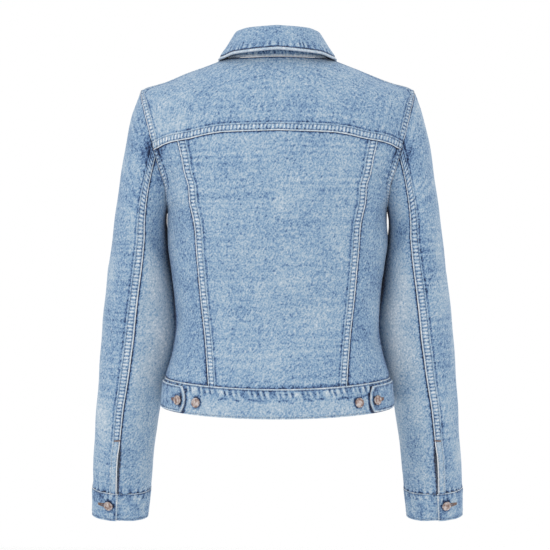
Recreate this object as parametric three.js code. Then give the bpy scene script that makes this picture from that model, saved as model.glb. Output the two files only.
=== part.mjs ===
// A cropped denim trucker jacket, buttoned up and filled out, with its sleeves hanging at its sides.
// Millimetres. +Z is up, -Y is the jacket's front and +X its left.
// The origin is the middle of the neck opening, between the ends of the two shoulder seams.
import * as THREE from 'three';

// Cloth and seams
const DENIM = 1.4; // one layer of 12 oz denim with its nap
const DOUBLED = 2.2; // two layers pressed together: collar, plackets, bands and tabs
const SEAM_GAP = 0.3; // clear space left between neighbouring pieces
const BAND_PROUD = 0.8; // how far the waistband and the cuffs stand out from the panels
const LAP = 0.9; // how far the upper piece of a flat-felled seam stands up along its edge

// Fastenings
const PLACKET_WIDTH = 32;
const FRONT_BUTTON_RADIUS = 8.5;
const SMALL_BUTTON_RADIUS = 7;
const BUTTON_COUNT = 6;
const TOP_BUTTON_Z = -92;
const BOTTOM_BUTTON_Z = -494;
const BUTTON_ROW = 0.41; // how far up the waistband its buttons and the tabs' buttons sit
const TAB_BUTTON_X = 138.5;
const BAND_BUTTON_X = 114;
const TAB_END_X = 135; // where each tab ends, measured at the corners of its rounded end
const TAB_BULGE = 5; // how far the middle of that end stands out past its corners
const CUFF_BUTTON_ANGLE = 17; // from the cuff's lapped end, in degrees

// Colours of the washed cloth and of the worn metal
const DENIM_COLOUR = 0x8fb0d0;
const BAND_COLOUR = 0x93b3d2;
const METAL_COLOUR = 0x9a8478;

// The waist, neck and shoulder all lie on one row number in both tables below.
const BAND_TOP = 1;
const UNDERARM = 6;
const SHOULDER_TIP = 13;
const NECK = 16;

// Rows of the torso from the hem up. Each row is a quarter arc from the centre line to the side, the
// armhole or the shoulder line, and holds the two ends and how far the arc keeps straight at each end.
const COLUMNS = ['centreY', 'centreZ', 'reach', 'sideX', 'sideY', 'sideZ', 'inset', 'sweep', 'drop'];
const BACK = rows(COLUMNS, [
  [102, -520, 96, 166.5, 0, -509, 0, 58, -4],
  [100, -478, 94, 162.5, 0, -466, 0, 56, -3],
  [91, -432, 88, 152.5, 0, -430, 0, 52, -1],
  [86, -388, 86, 147, 0, -388, 0, 50, 0],
  [97, -320, 92, 152.5, -3, -320, 0, 58, 0],
  [107, -262, 98, 158.5, -8, -262, 0, 66, 0],
  [112, -222, 100, 159, -8, -226, 0, 72, 2],
  [113, -205, 98, 159, 18, -214, 4, 50, 4],
  [113.5, -185, 96, 160.5, 36, -193, 18, 38, 4],
  [113, -163, 94, 169, 45, -165, 26, 32, 2],
  [111, -140, 92, 176, 47, -140, 30, 29, 0],
  [108, -116, 90, 185.5, 42, -104, 30, 28, -2],
  [102, -92, 90, 194, 27, -71, 26, 34, -4],
  [97, -75, 90, 198, 0, -54, 12, 48, -6],
  [90, -55, 80, 159, 1, -39.5, 8, 42, -4],
  [79, -32, 62, 115, 2, -22.5, 4, 40, -2],
  [64, -10, 40, 72, 4, -6, 0, 34, -2],
]);
const FRONT = rows(COLUMNS, [
  [-112, -514, 92, 166.5, 0, -509, 0, -62, -2],
  [-110, -472, 90, 162.5, 0, -466, 0, -60, -2],
  [-106, -431, 84, 152.5, 0, -430, 0, -58, 0],
  [-105, -388, 82, 147, 0, -388, 0, -58, 0],
  [-127, -320, 96, 152.5, -3, -320, 0, -72, 0],
  [-144, -262, 108, 158.5, -8, -262, 0, -84, 0],
  [-148, -236, 110, 159, -8, -226, 0, -86, -2],
  [-148, -222, 108, 159, -32, -216, 2, -66, 0],
  [-145, -205, 104, 160, -50, -195, 6, -52, 2],
  [-139, -184, 98, 164, -58, -168, 14, -42, 4],
  [-130, -162, 92, 171.5, -58, -134, 18, -36, 2],
  [-119, -142, 88, 181, -50, -98, 16, -36, -3],
  [-106, -124, 84, 193, -31, -68, 12, -38, -6],
  [-97, -113, 80, 198, 0, -54, 6, -48, -8],
  [-86, -101, 70, 159, 1, -39.5, 8, -40, -10],
  [-75, -90, 55, 115, 2, -22.5, 4, -36, -10],
  [-63, -80, 36, 72, 4, -6, 0, -34, -12],
]);

// Where the panels are cut: the yoke seams by height at a distance from the centre line, and the long
// curved back seams by distance from the centre line at a height.
const BACK_YOKE_SEAM = rows(['x', 'z'], [
  [0, -118], [78, -120], [100, -123], [124, -128], [147, -131], [159, -134], [168, -138], [184, -146],
]);
const FRONT_YOKE_SEAM = rows(['x', 'z'], [
  [0, -176], [60, -176], [120, -174], [175, -170],
]);
const BACK_LONG_SEAM = rows(['z', 'x'], [
  [-480, 96.5], [-424, 101.5], [-375, 106.5], [-322, 111], [-267, 115.5], [-214, 125], [-188, 129.5],
  [-131, 139.5], [-112, 142.5],
]);

// Rows of the left sleeve as it hangs, from just below the underarm to the cuff's edge. Lean is how much
// a row rises towards its front, and seam is where the back seam lies, in degrees round from the outside.
const SLEEVE = rows(['z', 'innerX', 'outerX', 'backY', 'frontY', 'lean', 'seam'], [
  [-264, 160.2, 241, 44, -90, 0, 106],
  [-300, 156.3, 245.5, 37, -95, 0.02, 100],
  [-340, 151.2, 250, 29, -95, 0.05, 92],
  [-395, 147.5, 256.5, 16, -92, 0.08, 86],
  [-440, 153.5, 261.5, 6, -93, 0.1, 85],
  [-475, 162.5, 264.5, -2, -95, 0.12, 85],
  [-510, 172.5, 267.5, -9, -97, 0.13, 85],
  [-567, 182.5, 271.5, -21, -107, 0.15, 85],
  [-618, 188, 275.5, -37, -117, 0.16, 85],
  [-636, 189.5, 276.3, -44, -119, 0.17, 85],
  [-679, 194.7, 277.5, -59, -121.5, 0.17, 86],
]);
const CUFF_TOP_ROW = 9;
const CUFF_EDGE_ROW = 10;
const CAP_LENGTH = 130; // how strongly the cap keeps its direction as it leaves the armhole
const UNDERARM_SLEEVE_SHARE = 7; // against the body's directions, where the sleeve leaves the underarm
const SLIT_TOP_Z = -562; // the sleeve's back seam is left open from here to the cuff
const SLIT_WIDTH = 3.4; // at its widest, near its top
const SLIT_FOOT_WIDTH = 1.8; // where it meets the cuff
const SLIT_WIDEST_Z = -590;
const SLIT_FOOT_Z = -636;
const BACK_SEAM_ANGLE = 86; // the sleeve's two seams at the armhole, in degrees from its top towards its back
const FRONT_SEAM_ANGLE = 262;
const CUFF_LAP_ANGLE = 24; // how far the cuff's under end runs on beneath its upper end

// The collar, at places round the neck: 0 is the centre back, 1 the shoulder line and 2 the centre front.
// The fold and the free edge are measured from the neck seam: outwards from the neck, up, and sideways.
const COLLAR = rows(['turn', 'foldOut', 'foldUp', 'edgeOut', 'edgeUp', 'edgeAside'], [
  [0, -7, 46.5, 17, 7.5, 0],
  [0.5, -10, 43.5, 15.5, 2.5, 0],
  [0.75, -12, 40, 14, -2.5, 0],
  [1, -13.5, 35, 12, -3, 0],
  [1.35, -7, 27, 23, -9, 4],
  [1.6, 0, 20, 36, -20, 14],
  [1.75, 2, 16, 45, -35, 28],
  [1.84, 3, 14, 51, -45, 40],
]);
const COLLAR_END = 1.84;
const FOLD_ROLL = 0.16; // the share of the stand and of the fall over which the cloth rolls round
const STAND_TOP = 0.8; // where the fall is sewn on to the stand, as a share of the way to the fold
const FALL_START = 0.807;

// Soft troughs and ridges of the worn cloth. Depth is negative for a trough.
const BODY_FOLDS = rows(['half', 'x1', 'z1', 'x2', 'z2', 'width', 'depth'], [
  [1, 168, -392, 118, -372, 15, -3],
  [1, -166, -420, -122, -402, 15, -3],
  [1, 160, -232, 140, -330, 14, 2.5],
  [1, -160, -238, -142, -322, 14, 2.5],
  [1, 170, -150, 146, -190, 11, -2.2],
  [1, -170, -150, -148, -196, 11, -2.2],
  [-1, 160, -250, 92, -262, 18, -3],
  [-1, -160, -252, -96, -258, 18, -3],
  [-1, 158, -400, 96, -384, 16, -3],
  [-1, -158, -396, -90, -380, 16, -3],
]);
const SLEEVE_FOLDS = rows(['angle1', 'z1', 'angle2', 'z2', 'width', 'depth'], [
  [250, -372, 330, -392, 13, -3.5],
  [200, -402, 300, -424, 13, -3],
  [60, -330, 120, -392, 16, -2],
  [20, -300, 60, -372, 18, 2],
  [110, -240, 150, -300, 12, -2.5],
  [280, -200, 320, -270, 16, -2.5],
]);

function rows(columns, values) {
  return values.map((row) => Object.fromEntries(columns.map((column, i) => [column, row[i]])));
}

// The value of one column at a fractional row, on a curve that never swings past the rows.
function blend(table, column, at) {
  const last = table.length - 1;
  const i = Math.min(Math.max(Math.floor(at), 0), last - 1);
  const step = (k) => table[k + 1][column] - table[k][column];
  const slope = (k) => {
    if (k === 0) return step(0);
    if (k === last) return step(last - 1);
    const before = step(k - 1);
    const after = step(k);
    return before * after <= 0 ? 0 : (2 * before * after) / (before + after);
  };
  const t = at - i;
  const t2 = t * t;
  const t3 = t2 * t;
  return (2 * t3 - 3 * t2 + 1) * table[i][column] + (t3 - 2 * t2 + t) * slope(i)
    + (3 * t2 - 2 * t3) * table[i + 1][column] + (t3 - t2) * slope(i + 1);
}

// The same, looked up by the value of the first column instead of by row.
function lookUp(table, key, column, value) {
  const last = table.length - 1;
  let i = 0;
  while (i < last - 1 && value > table[i + 1][key]) i += 1;
  const share = (value - table[i][key]) / (table[i + 1][key] - table[i][key]);
  return blend(table, column, i + Math.min(Math.max(share, 0), 1));
}

function between(low, high, share) {
  return low + (high - low) * share;
}

function smoothStep(low, high, value) {
  const t = Math.min(Math.max((value - low) / (high - low), 0), 1);
  return t * t * (3 - 2 * t);
}

// Finds where a rising function reaches a value.
function solve(rising, value, low, high) {
  for (let i = 0; i < 40; i += 1) {
    const middle = (low + high) / 2;
    if (rising(middle) < value) low = middle;
    else high = middle;
  }
  return (low + high) / 2;
}

// A soft crease along a line: full depth on the line, nothing a width away from it or past its ends.
function crease(x, z, x1, z1, x2, z2, width, depth) {
  const length = Math.hypot(x2 - x1, z2 - z1);
  const along = ((x - x1) * (x2 - x1) + (z - z1) * (z2 - z1)) / length;
  const across = ((x - x1) * (z2 - z1) - (z - z1) * (x2 - x1)) / length;
  const taper = Math.min(along, length - along) / (length / 2);
  return taper <= 0 ? 0 : depth * Math.sqrt(taper) * Math.exp(-((across / width) ** 2));
}

// A point of the torso's outer face. Across is 0 on the centre line and 1 or -1 at the left or right side.
function torsoPoint(half, across, row) {
  const table = half > 0 ? BACK : FRONT;
  const side = across < 0 ? -1 : 1;
  const s = Math.abs(across);
  const at = (column) => blend(table, column, row);
  const x = [0, at('reach'), at('sideX') - at('inset'), at('sideX')];
  const y = [at('centreY'), at('centreY'), at('sideY') + at('sweep'), at('sideY')];
  const z = [at('centreZ'), at('centreZ'), at('sideZ') + at('drop'), at('sideZ')];
  const weights = [(1 - s) ** 3, 3 * (1 - s) ** 2 * s, 3 * (1 - s) * s * s, s ** 3];
  const mix = (p) => weights.reduce((sum, weight, i) => sum + weight * p[i], 0);
  return new THREE.Vector3(side * mix(x), mix(y), mix(z));
}

function normalOf(point, u, v, uLow, uHigh, vLow, vHigh) {
  const h = 0.004;
  const du = point(Math.min(u + h, uHigh), v).sub(point(Math.max(u - h, uLow), v));
  const dv = point(u, Math.min(v + h, vHigh)).sub(point(u, Math.max(v - h, vLow)));
  return dv.cross(du).normalize();
}

function torsoNormal(half, across, row) {
  const normal = normalOf((a, r) => torsoPoint(half, a, r), across, row, -1, 1, 0, NECK);
  return half < 0 ? normal.negate() : normal;
}

// The direction in which the walls that meet at a side, armhole or shoulder seam are all set off, so that
// their inner faces don't cross. The share says how much the sleeve's own direction counts.
function seamNormal(half, row, sleeveShare = 3) {
  const sum = new THREE.Vector3();
  const onArmhole = row > UNDERARM - 0.02 && row < SHOULDER_TIP + 0.02;
  const atEnd = Math.min(Math.abs(row - UNDERARM), Math.abs(row - SHOULDER_TIP)) < 0.02;
  for (const h of [1, -1]) {
    for (const near of [row - 0.6, row, Math.min(row + 0.6, NECK)]) {
      if (h === half || atEnd || !onArmhole) sum.add(torsoNormal(h, 1, near));
    }
  }
  if (onArmhole) sum.addScaledVector(sleeveNormal(armholeAngle(half, row), -1), sleeveShare);
  return sum.normalize();
}

// A point on a side, armhole or shoulder seam, drawn back on to its own panel by half of the seam's gap.
function torsoSeam(half, row, offset) {
  const normal = seamNormal(half, row);
  const point = torsoPoint(half, 1, row);
  const below = torsoPoint(half, 1, Math.max(row - 0.03, 0));
  const rise = torsoPoint(half, 1, Math.min(row + 0.03, NECK)).sub(below);
  const back = rise.cross(normal).normalize().multiplyScalar((half * SEAM_GAP) / 2);
  return point.add(back).addScaledVector(normal, offset);
}

// A point moved out from the torso by an offset, with the cloth's creases.
function torso(half, across, row, offset) {
  if (Math.abs(across) > 0.999) {
    const onSeam = torsoSeam(half, row, offset);
    onSeam.x *= Math.sign(across);
    return onSeam;
  }
  const point = torsoPoint(half, across, row);
  const normal = torsoNormal(half, across, row);
  let depth = 0;
  for (const f of BODY_FOLDS) {
    if (f.half === half) depth += crease(point.x, point.z, f.x1, f.z1, f.x2, f.z2, f.width, f.depth);
  }
  const fixed = smoothStep(0, 1.2, Math.abs(row - BAND_TOP)) * smoothStep(1, 0.9, Math.abs(across));
  return point.addScaledVector(normal, offset + depth * fixed);
}

// Round the body: 0 is the centre back, 1 the left side, 2 the centre front and past it the right front.
function roundBody(turn, row, offset) {
  const reach = Math.abs(turn);
  const side = Math.sign(turn) || 1;
  return reach <= 1 ? torso(1, turn, row, offset) : torso(-1, side * (2 - reach), row, offset);
}

// The row at which the torso has a height, at a share of the way across.
function rowAtHeight(half, across, z) {
  return solve((row) => torsoPoint(half, across, row).z, z, 0, NECK);
}

// The share of the way across at which the torso is a distance from the centre line, on a row.
function acrossAtX(half, row, x) {
  return solve((s) => torsoPoint(half, s, row).x, x, 0, 1);
}

function yokeRow(half, across, lift) {
  const seam = half > 0 ? BACK_YOKE_SEAM : FRONT_YOKE_SEAM;
  let row = 10;
  for (let i = 0; i < 6; i += 1) {
    const x = Math.abs(torsoPoint(half, across, row).x);
    row = rowAtHeight(half, across, lookUp(seam, 'x', 'z', x) + lift);
  }
  return row;
}

function longSeamAcross(row, aside) {
  let across = 0.6;
  for (let i = 0; i < 6; i += 1) {
    const z = torsoPoint(1, across, row).z;
    across = acrossAtX(1, row, lookUp(BACK_LONG_SEAM, 'z', 'x', z) + aside);
  }
  return across;
}

// The place round the armhole, in degrees, of a row of the back or front.
function armholeAngle(half, row) {
  const down = (180 * (SHOULDER_TIP - row)) / (SHOULDER_TIP - UNDERARM);
  return half > 0 ? down : 360 - down;
}

// The armhole: from the shoulder tip (0) down the back to the underarm (180) and up the front (360).
function armhole(angle) {
  const turn = ((angle % 360) + 360) % 360;
  const down = turn <= 180 ? turn / 180 : (360 - turn) / 180;
  return torsoPoint(turn <= 180 ? 1 : -1, 1, SHOULDER_TIP - (SHOULDER_TIP - UNDERARM) * down);
}

function sleeveRing(angle, row) {
  const at = (column) => blend(SLEEVE, column, row);
  const a = THREE.MathUtils.degToRad(angle);
  const halfX = (at('outerX') - at('innerX')) / 2;
  const halfY = (at('backY') - at('frontY')) / 2;
  const y = halfY * Math.sin(a);
  const rise = -at('lean') * y + 0.035 * halfX * Math.cos(a);
  const x = at('innerX') + halfX * (1 + Math.cos(a));
  return new THREE.Vector3(x, at('frontY') + halfY + y, at('z') + rise);
}

// Where the sleeve's back seam lies, in degrees, at a place down the sleeve.
function backSeam(down) {
  const low = blend(SLEEVE, 'seam', Math.max(down, 0));
  return down >= 0 ? low : between(BACK_SEAM_ANGLE, low, 1 - down * down);
}

// A point of the left sleeve's outer face. Down is -1 at the armhole, 0 at the table's first row, and from
// there it counts the rows.
function sleevePoint(angle, down) {
  if (down >= 0) return sleeveRing(angle, down);
  const t = down + 1;
  const start = armhole(angle);
  const end = sleeveRing(angle, 0);
  const drop = start.distanceTo(end);
  const outwards = 0.5 - 0.25 * (1 - Math.cos(THREE.MathUtils.degToRad(angle))) / 2;
  const leave = new THREE.Vector3(outwards, 0, -0.87).normalize().multiplyScalar(Math.min(drop, CAP_LENGTH));
  const arrive = sleeveRing(angle, 0.05).sub(end).normalize().multiplyScalar(Math.min(drop, CAP_LENGTH));
  const t2 = t * t;
  const t3 = t2 * t;
  return start.clone().multiplyScalar(2 * t3 - 3 * t2 + 1)
    .addScaledVector(leave, t3 - 2 * t2 + t)
    .addScaledVector(end, 3 * t2 - 2 * t3)
    .addScaledVector(arrive, t3 - t2);
}

function sleeveNormal(angle, down) {
  const step = 0.5;
  const round = sleevePoint(angle + step, down).sub(sleevePoint(angle - step, down));
  const low = Math.max(down - 0.01, -1);
  const along = sleevePoint(angle, Math.min(down + 0.01, CUFF_EDGE_ROW)).sub(sleevePoint(angle, low));
  return along.cross(round).normalize();
}

function sleeve(side, angle, down, offset) {
  const point = sleevePoint(angle, down);
  const turn = ((angle % 360) + 360) % 360;
  const rowHere = SHOULDER_TIP - ((SHOULDER_TIP - UNDERARM) * Math.min(turn, 360 - turn)) / 180;
  const atArmhole = down < -0.999;
  const toSeam = Math.abs(turn - backSeam(down)) < 4 ? backSeam(down) : angle;
  // At the underarm the sleeve hangs back along the body, so its own direction counts for more there. With
  // less, its wall would cross itself between the seam and the next line of points.
  const share = Math.abs(rowHere - UNDERARM) < 0.02 ? UNDERARM_SLEEVE_SHARE : 3;
  const half = turn <= 180 ? 1 : -1;
  const normal = atArmhole ? seamNormal(half, rowHere, share) : sleeveNormal(toSeam, down);
  if (atArmhole) {
    const round = armhole(angle + 1).sub(armhole(angle - 1));
    point.addScaledVector(round.cross(normal).normalize(), SEAM_GAP / 2);
  }
  let depth = 0;
  const radius = 48;
  for (const f of SLEEVE_FOLDS) {
    const middle = (f.angle1 + f.angle2) / 2;
    const near = angle + 360 * Math.round((middle - angle) / 360);
    const round = (degrees) => THREE.MathUtils.degToRad(degrees) * radius;
    depth += crease(round(near), point.z, round(f.angle1), f.z1, round(f.angle2), f.z2, f.width, f.depth);
  }
  point.addScaledVector(normal, offset + depth * smoothStep(CUFF_TOP_ROW, CUFF_TOP_ROW - 1, down));
  point.x *= side;
  return point;
}

// A closed wall between an outer and an inner face, on a grid of shares across and along. Place gives a
// point for the two shares, and for depth 0 on the outer face or 1 on the inner one.
function wall(name, colour, acrossShares, alongShares, place) {
  const columns = acrossShares.length - 1;
  const lines = alongShares.length - 1;
  const positions = [];
  for (const depth of [0, 1]) {
    for (const v of alongShares) {
      for (const u of acrossShares) positions.push(place(u, v, depth));
    }
  }
  const width = columns + 1;
  const face = width * (lines + 1);
  const index = [];
  const quad = (a, b, c, d) => index.push(a, b, c, a, c, d);
  for (let j = 0; j < lines; j += 1) {
    for (let i = 0; i < columns; i += 1) {
      const a = j * width + i;
      quad(a, a + 1, a + 1 + width, a + width);
      quad(face + a, face + a + width, face + a + 1 + width, face + a + 1);
    }
  }
  // The edges are split by their place alone, so that the edges of two neighbours follow each other.
  const order = (n) => positions[n].z + 0.37 * Math.abs(positions[n].x) + 0.21 * positions[n].y;
  const edge = (a, b) => {
    if (order(a) > order(b)) index.push(a, b, face + b, a, face + b, face + a);
    else index.push(a, b, face + a, b, face + b, face + a);
  };
  for (let i = 0; i < columns; i += 1) {
    edge(i + 1, i);
    edge(lines * width + i, lines * width + i + 1);
  }
  for (let j = 0; j < lines; j += 1) {
    edge(j * width, j * width + width);
    edge((j + 1) * width + columns, j * width + columns);
  }
  let volume = 0;
  for (let k = 0; k < index.length; k += 3) {
    const [a, b, c] = index.slice(k, k + 3).map((n) => positions[n]);
    volume += a.dot(b.clone().cross(c));
  }
  if (volume < 0) index.reverse();
  const geometry = new THREE.BufferGeometry().setFromPoints(positions).setIndex(index);
  geometry.computeVertexNormals();
  const material = new THREE.MeshStandardMaterial({ color: colour, roughness: 0.9, metalness: 0 });
  const mesh = new THREE.Mesh(geometry, material);
  mesh.name = name;
  jacket.add(mesh);
}

const jacket = new THREE.Group();
const PANEL_BOTTOM = BAND_TOP + 0.0036;
const PANEL_TOP = NECK - 0.03;
const SIDES = [['left', 1], ['right', -1]];
const steps = (count, low = 0, high = 1) => (
  Array.from({ length: count + 1 }, (_, i) => between(low, high, i / count))
);
const chain = (...runs) => runs.flatMap((run, i) => (i === 0 ? run : run.slice(1)));

// Rows at which the pieces that meet at the side, the armhole and the shoulder all have a corner.
const SLEEVE_BACK_ROW = SHOULDER_TIP - ((SHOULDER_TIP - UNDERARM) * BACK_SEAM_ANGLE) / 180;
const SLEEVE_FRONT_ROW = SHOULDER_TIP - ((SHOULDER_TIP - UNDERARM) * (360 - FRONT_SEAM_ANGLE)) / 180;
const BACK_YOKE_ROW = yokeRow(1, 1, 0);
const FRONT_YOKE_ROW = yokeRow(-1, 1, 0);
const SIDE_ROWS = steps(11, PANEL_BOTTOM, UNDERARM);
const SHOULDER_ROWS = steps(3, SHOULDER_TIP, PANEL_TOP);
const BACK_LOW_ROWS = chain(steps(6, UNDERARM, SLEEVE_BACK_ROW), [SLEEVE_BACK_ROW, BACK_YOKE_ROW]);
const BACK_LAP_ROW = BACK_YOKE_ROW + 0.42;
const BACK_HIGH_ROWS = chain(
  [BACK_YOKE_ROW, BACK_LAP_ROW],
  [0, BACK_LAP_ROW + 0.06],
  steps(4, BACK_LAP_ROW + 0.06, SHOULDER_TIP),
);
const FRONT_LOW_ROWS = steps(5, UNDERARM, FRONT_YOKE_ROW);
const FRONT_HIGH_ROWS = chain([FRONT_YOKE_ROW, SLEEVE_FRONT_ROW], steps(5, SLEEVE_FRONT_ROW, SHOULDER_TIP));

// Half of the yoke seam's gap, up or down, on the one line of a piece that lies on the seam.
const onSeamLine = (v, line, way) => (v === line ? (way * SEAM_GAP) / 2 : 0);

// Turns rows along an edge into shares of the way from the first of them to the last.
const shares = (list) => list.map((row) => (row - list[0]) / (list[list.length - 1] - list[0]));

// The back: a yoke over the shoulder blades, one centre panel and a side panel each side.
function backPanels() {
  const seamAcross = longSeamAcross(BACK_YOKE_ROW, 0);
  const centre = chain([-1, -0.9, -0.88], steps(8, -0.88, 0.88), [0.88, 0.9, 1]);
  const middle = centre.map((u) => u * seamAcross);
  const yokeAcross = chain(steps(6, -1, -seamAcross), middle, steps(6, seamAcross, 1));
  const yokeRows = shares(chain(BACK_HIGH_ROWS, SHOULDER_ROWS));
  const armholeLap = (across, row) => Math.abs(across) > 0.93 && row > UNDERARM && row < SHOULDER_TIP;
  wall('back_yoke', DENIM_COLOUR, yokeAcross, yokeRows, (u, v, depth) => {
    const row = between(yokeRow(1, u, onSeamLine(v, 0, 1)), PANEL_TOP, v);
    const lap = v < yokeRows[1] + 0.001 || armholeLap(u, row) ? LAP : 0;
    return torso(1, u, row, depth ? -DENIM : lap);
  });
  const panelRows = shares(chain(SIDE_ROWS, BACK_LOW_ROWS));
  const panelRow = (across, v) => between(PANEL_BOTTOM, yokeRow(1, across, onSeamLine(v, 1, -1)), v);
  wall('back_centre', DENIM_COLOUR, centre, panelRows, (u, v, depth) => {
    const across = u * longSeamAcross(between(PANEL_BOTTOM, BACK_YOKE_ROW, v), -SEAM_GAP / 2);
    return torso(1, across, panelRow(across, v), depth ? -DENIM : LAP * (Math.abs(u) > 0.89));
  });
  for (const [word, side] of SIDES) {
    wall('back_side_' + word, DENIM_COLOUR, steps(6), panelRows, (u, v, depth) => {
      const inner = longSeamAcross(between(PANEL_BOTTOM, BACK_YOKE_ROW, v), SEAM_GAP / 2);
      const across = side * between(inner, 1, u);
      const row = panelRow(across, v);
      return torso(1, across, row, depth ? -DENIM : LAP * armholeLap(across, row));
    });
  }
}

// The fronts: a panel and a yoke each side, and the buttoned plackets down the middle, right over left.
function frontPanels() {
  const edgeX = PLACKET_WIDTH / 2 + SEAM_GAP;
  const seamRow = yokeRow(-1, acrossAtX(-1, FRONT_YOKE_ROW, edgeX), 0);
  for (const [word, side] of SIDES) {
    const panelRows = shares(chain(SIDE_ROWS, FRONT_LOW_ROWS));
    wall('front_' + word, DENIM_COLOUR, steps(10), panelRows, (u, v, depth) => {
      const guess = between(PANEL_BOTTOM, seamRow, v);
      const across = side * between(acrossAtX(-1, guess, edgeX), 1, u);
      const high = yokeRow(-1, across, onSeamLine(v, 1, -1));
      return torso(-1, across, between(PANEL_BOTTOM, high, v), -depth * DENIM);
    });
    const yokeRows = shares(chain(FRONT_HIGH_ROWS, SHOULDER_ROWS));
    wall('front_yoke_' + word, DENIM_COLOUR, steps(10), yokeRows, (u, v, depth) => {
      const guess = between(seamRow, PANEL_TOP, v);
      const across = side * between(acrossAtX(-1, guess, edgeX), 1, u);
      const low = yokeRow(-1, across, onSeamLine(v, 0, 1));
      return torso(-1, across, between(low, PANEL_TOP, v), -depth * DENIM);
    });
  }
  const placket = (name, width, outer) => wall(name, DENIM_COLOUR, steps(2), steps(24), (u, v, depth) => {
    const row = between(PANEL_BOTTOM, PANEL_TOP, v);
    const across = between(-1, 1, u) * acrossAtX(-1, row, width / 2);
    return torso(-1, across, row, outer - depth * DOUBLED);
  });
  placket('placket_over', PLACKET_WIDTH, DOUBLED + SEAM_GAP);
  placket('placket_under', PLACKET_WIDTH, 0);
}

// The waistband: one strip from the right front, which laps over, round the back to the left front.
function waistband() {
  const endAcross = acrossAtX(-1, 0.5, PLACKET_WIDTH / 2);
  const lift = DOUBLED + SEAM_GAP;
  wall('waistband', BAND_COLOUR, steps(64), steps(3), (u, v, depth) => {
    const turn = between(-2 - endAcross, 2 + endAcross, u);
    const row = between(0, BAND_TOP - 0.0036, v);
    const x = roundBody(turn, row, 0).x;
    const over = turn < -1 ? lift * smoothStep(-34, -20, x) : 0;
    return roundBody(turn, row, BAND_PROUD + over - depth * DOUBLED);
  });
  for (const [word, side] of SIDES) {
    wall('tab_' + word, BAND_COLOUR, steps(9), steps(4), (u, v, depth) => {
      const row = between(0.03, 0.88, v);
      const bulge = 1 - (2 * v - 1) ** 2;
      const end = acrossAtX(1, row, TAB_END_X - TAB_BULGE * bulge);
      return roundBody(side * between(1.02, end, u), row, BAND_PROUD + SEAM_GAP + (1 - depth) * DOUBLED);
    });
  }
}

// The sleeves, cut in an upper and an under piece, and the cuffs, whose upper end laps over the back.
function sleeves() {
  const sleeveEnd = CUFF_TOP_ROW - 0.012;
  const perDegree = (angle, down) => (
    sleevePoint(angle + 1, down).distanceTo(sleevePoint(angle - 1, down)) / 2
  );
  // Half of the gap, in degrees: a seam's width, and the open slit above the cuff.
  const halfGap = (angle, down) => {
    const z = sleevePoint(angle, down).z;
    const open = smoothStep(SLIT_TOP_Z, SLIT_WIDEST_Z, z);
    const width = between(SLIT_WIDTH, SLIT_FOOT_WIDTH, smoothStep(SLIT_WIDEST_Z, SLIT_FOOT_Z, z));
    const slit = angle === FRONT_SEAM_ANGLE ? 0 : (width - SEAM_GAP) * open;
    return (SEAM_GAP + slit) / 2 / perDegree(angle, down);
  };
  const angles = (half, list) => list.map((row) => armholeAngle(half, row));
  const upperRound = shares(chain(
    angles(-1, FRONT_HIGH_ROWS.slice(1)).map((angle) => angle - 360),
    angles(1, [...BACK_HIGH_ROWS].reverse()),
    [0, BACK_SEAM_ANGLE],
  ));
  const underRound = shares(chain(
    angles(1, BACK_LOW_ROWS.slice(0, -1).reverse()),
    angles(-1, FRONT_LOW_ROWS),
    [0, FRONT_SEAM_ANGLE],
  ));
  const lengths = shares(chain(steps(8, -1, 0), steps(15, 0, sleeveEnd)));
  const lapFrom = upperRound[upperRound.length - 2] - 0.001;
  const lapStep = 12;
  const cuffRound = steps((360 + CUFF_LAP_ANGLE) / lapStep);
  for (const [word, side] of SIDES) {
    wall('sleeve_upper_' + word, DENIM_COLOUR, upperRound, lengths, (u, v, depth) => {
      const down = between(-1, sleeveEnd, v);
      const low = FRONT_SEAM_ANGLE - 360 + halfGap(FRONT_SEAM_ANGLE, down);
      const high = backSeam(down) - halfGap(backSeam(down), down);
      const lap = u > lapFrom ? LAP : 0;
      return sleeve(side, between(low, high, u), down, depth ? -DENIM : lap);
    });
    wall('sleeve_under_' + word, DENIM_COLOUR, underRound, lengths, (u, v, depth) => {
      const down = between(-1, sleeveEnd, v);
      const low = backSeam(down) + halfGap(backSeam(down), down);
      const high = FRONT_SEAM_ANGLE - halfGap(FRONT_SEAM_ANGLE, down);
      return sleeve(side, between(low, high, u), down, -depth * DENIM);
    });
    wall('cuff_' + word, BAND_COLOUR, cuffRound, steps(2), (u, v, depth) => {
      const down = between(CUFF_TOP_ROW, CUFF_EDGE_ROW, v);
      const angle = between(BACK_SEAM_ANGLE, BACK_SEAM_ANGLE - 360 - CUFF_LAP_ANGLE, u);
      const under = (DOUBLED + SEAM_GAP) * smoothStep(BACK_SEAM_ANGLE - 320, BACK_SEAM_ANGLE - 352, angle);
      return sleeve(side, angle, down, BAND_PROUD - under - depth * DOUBLED);
    });
  }
}

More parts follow.
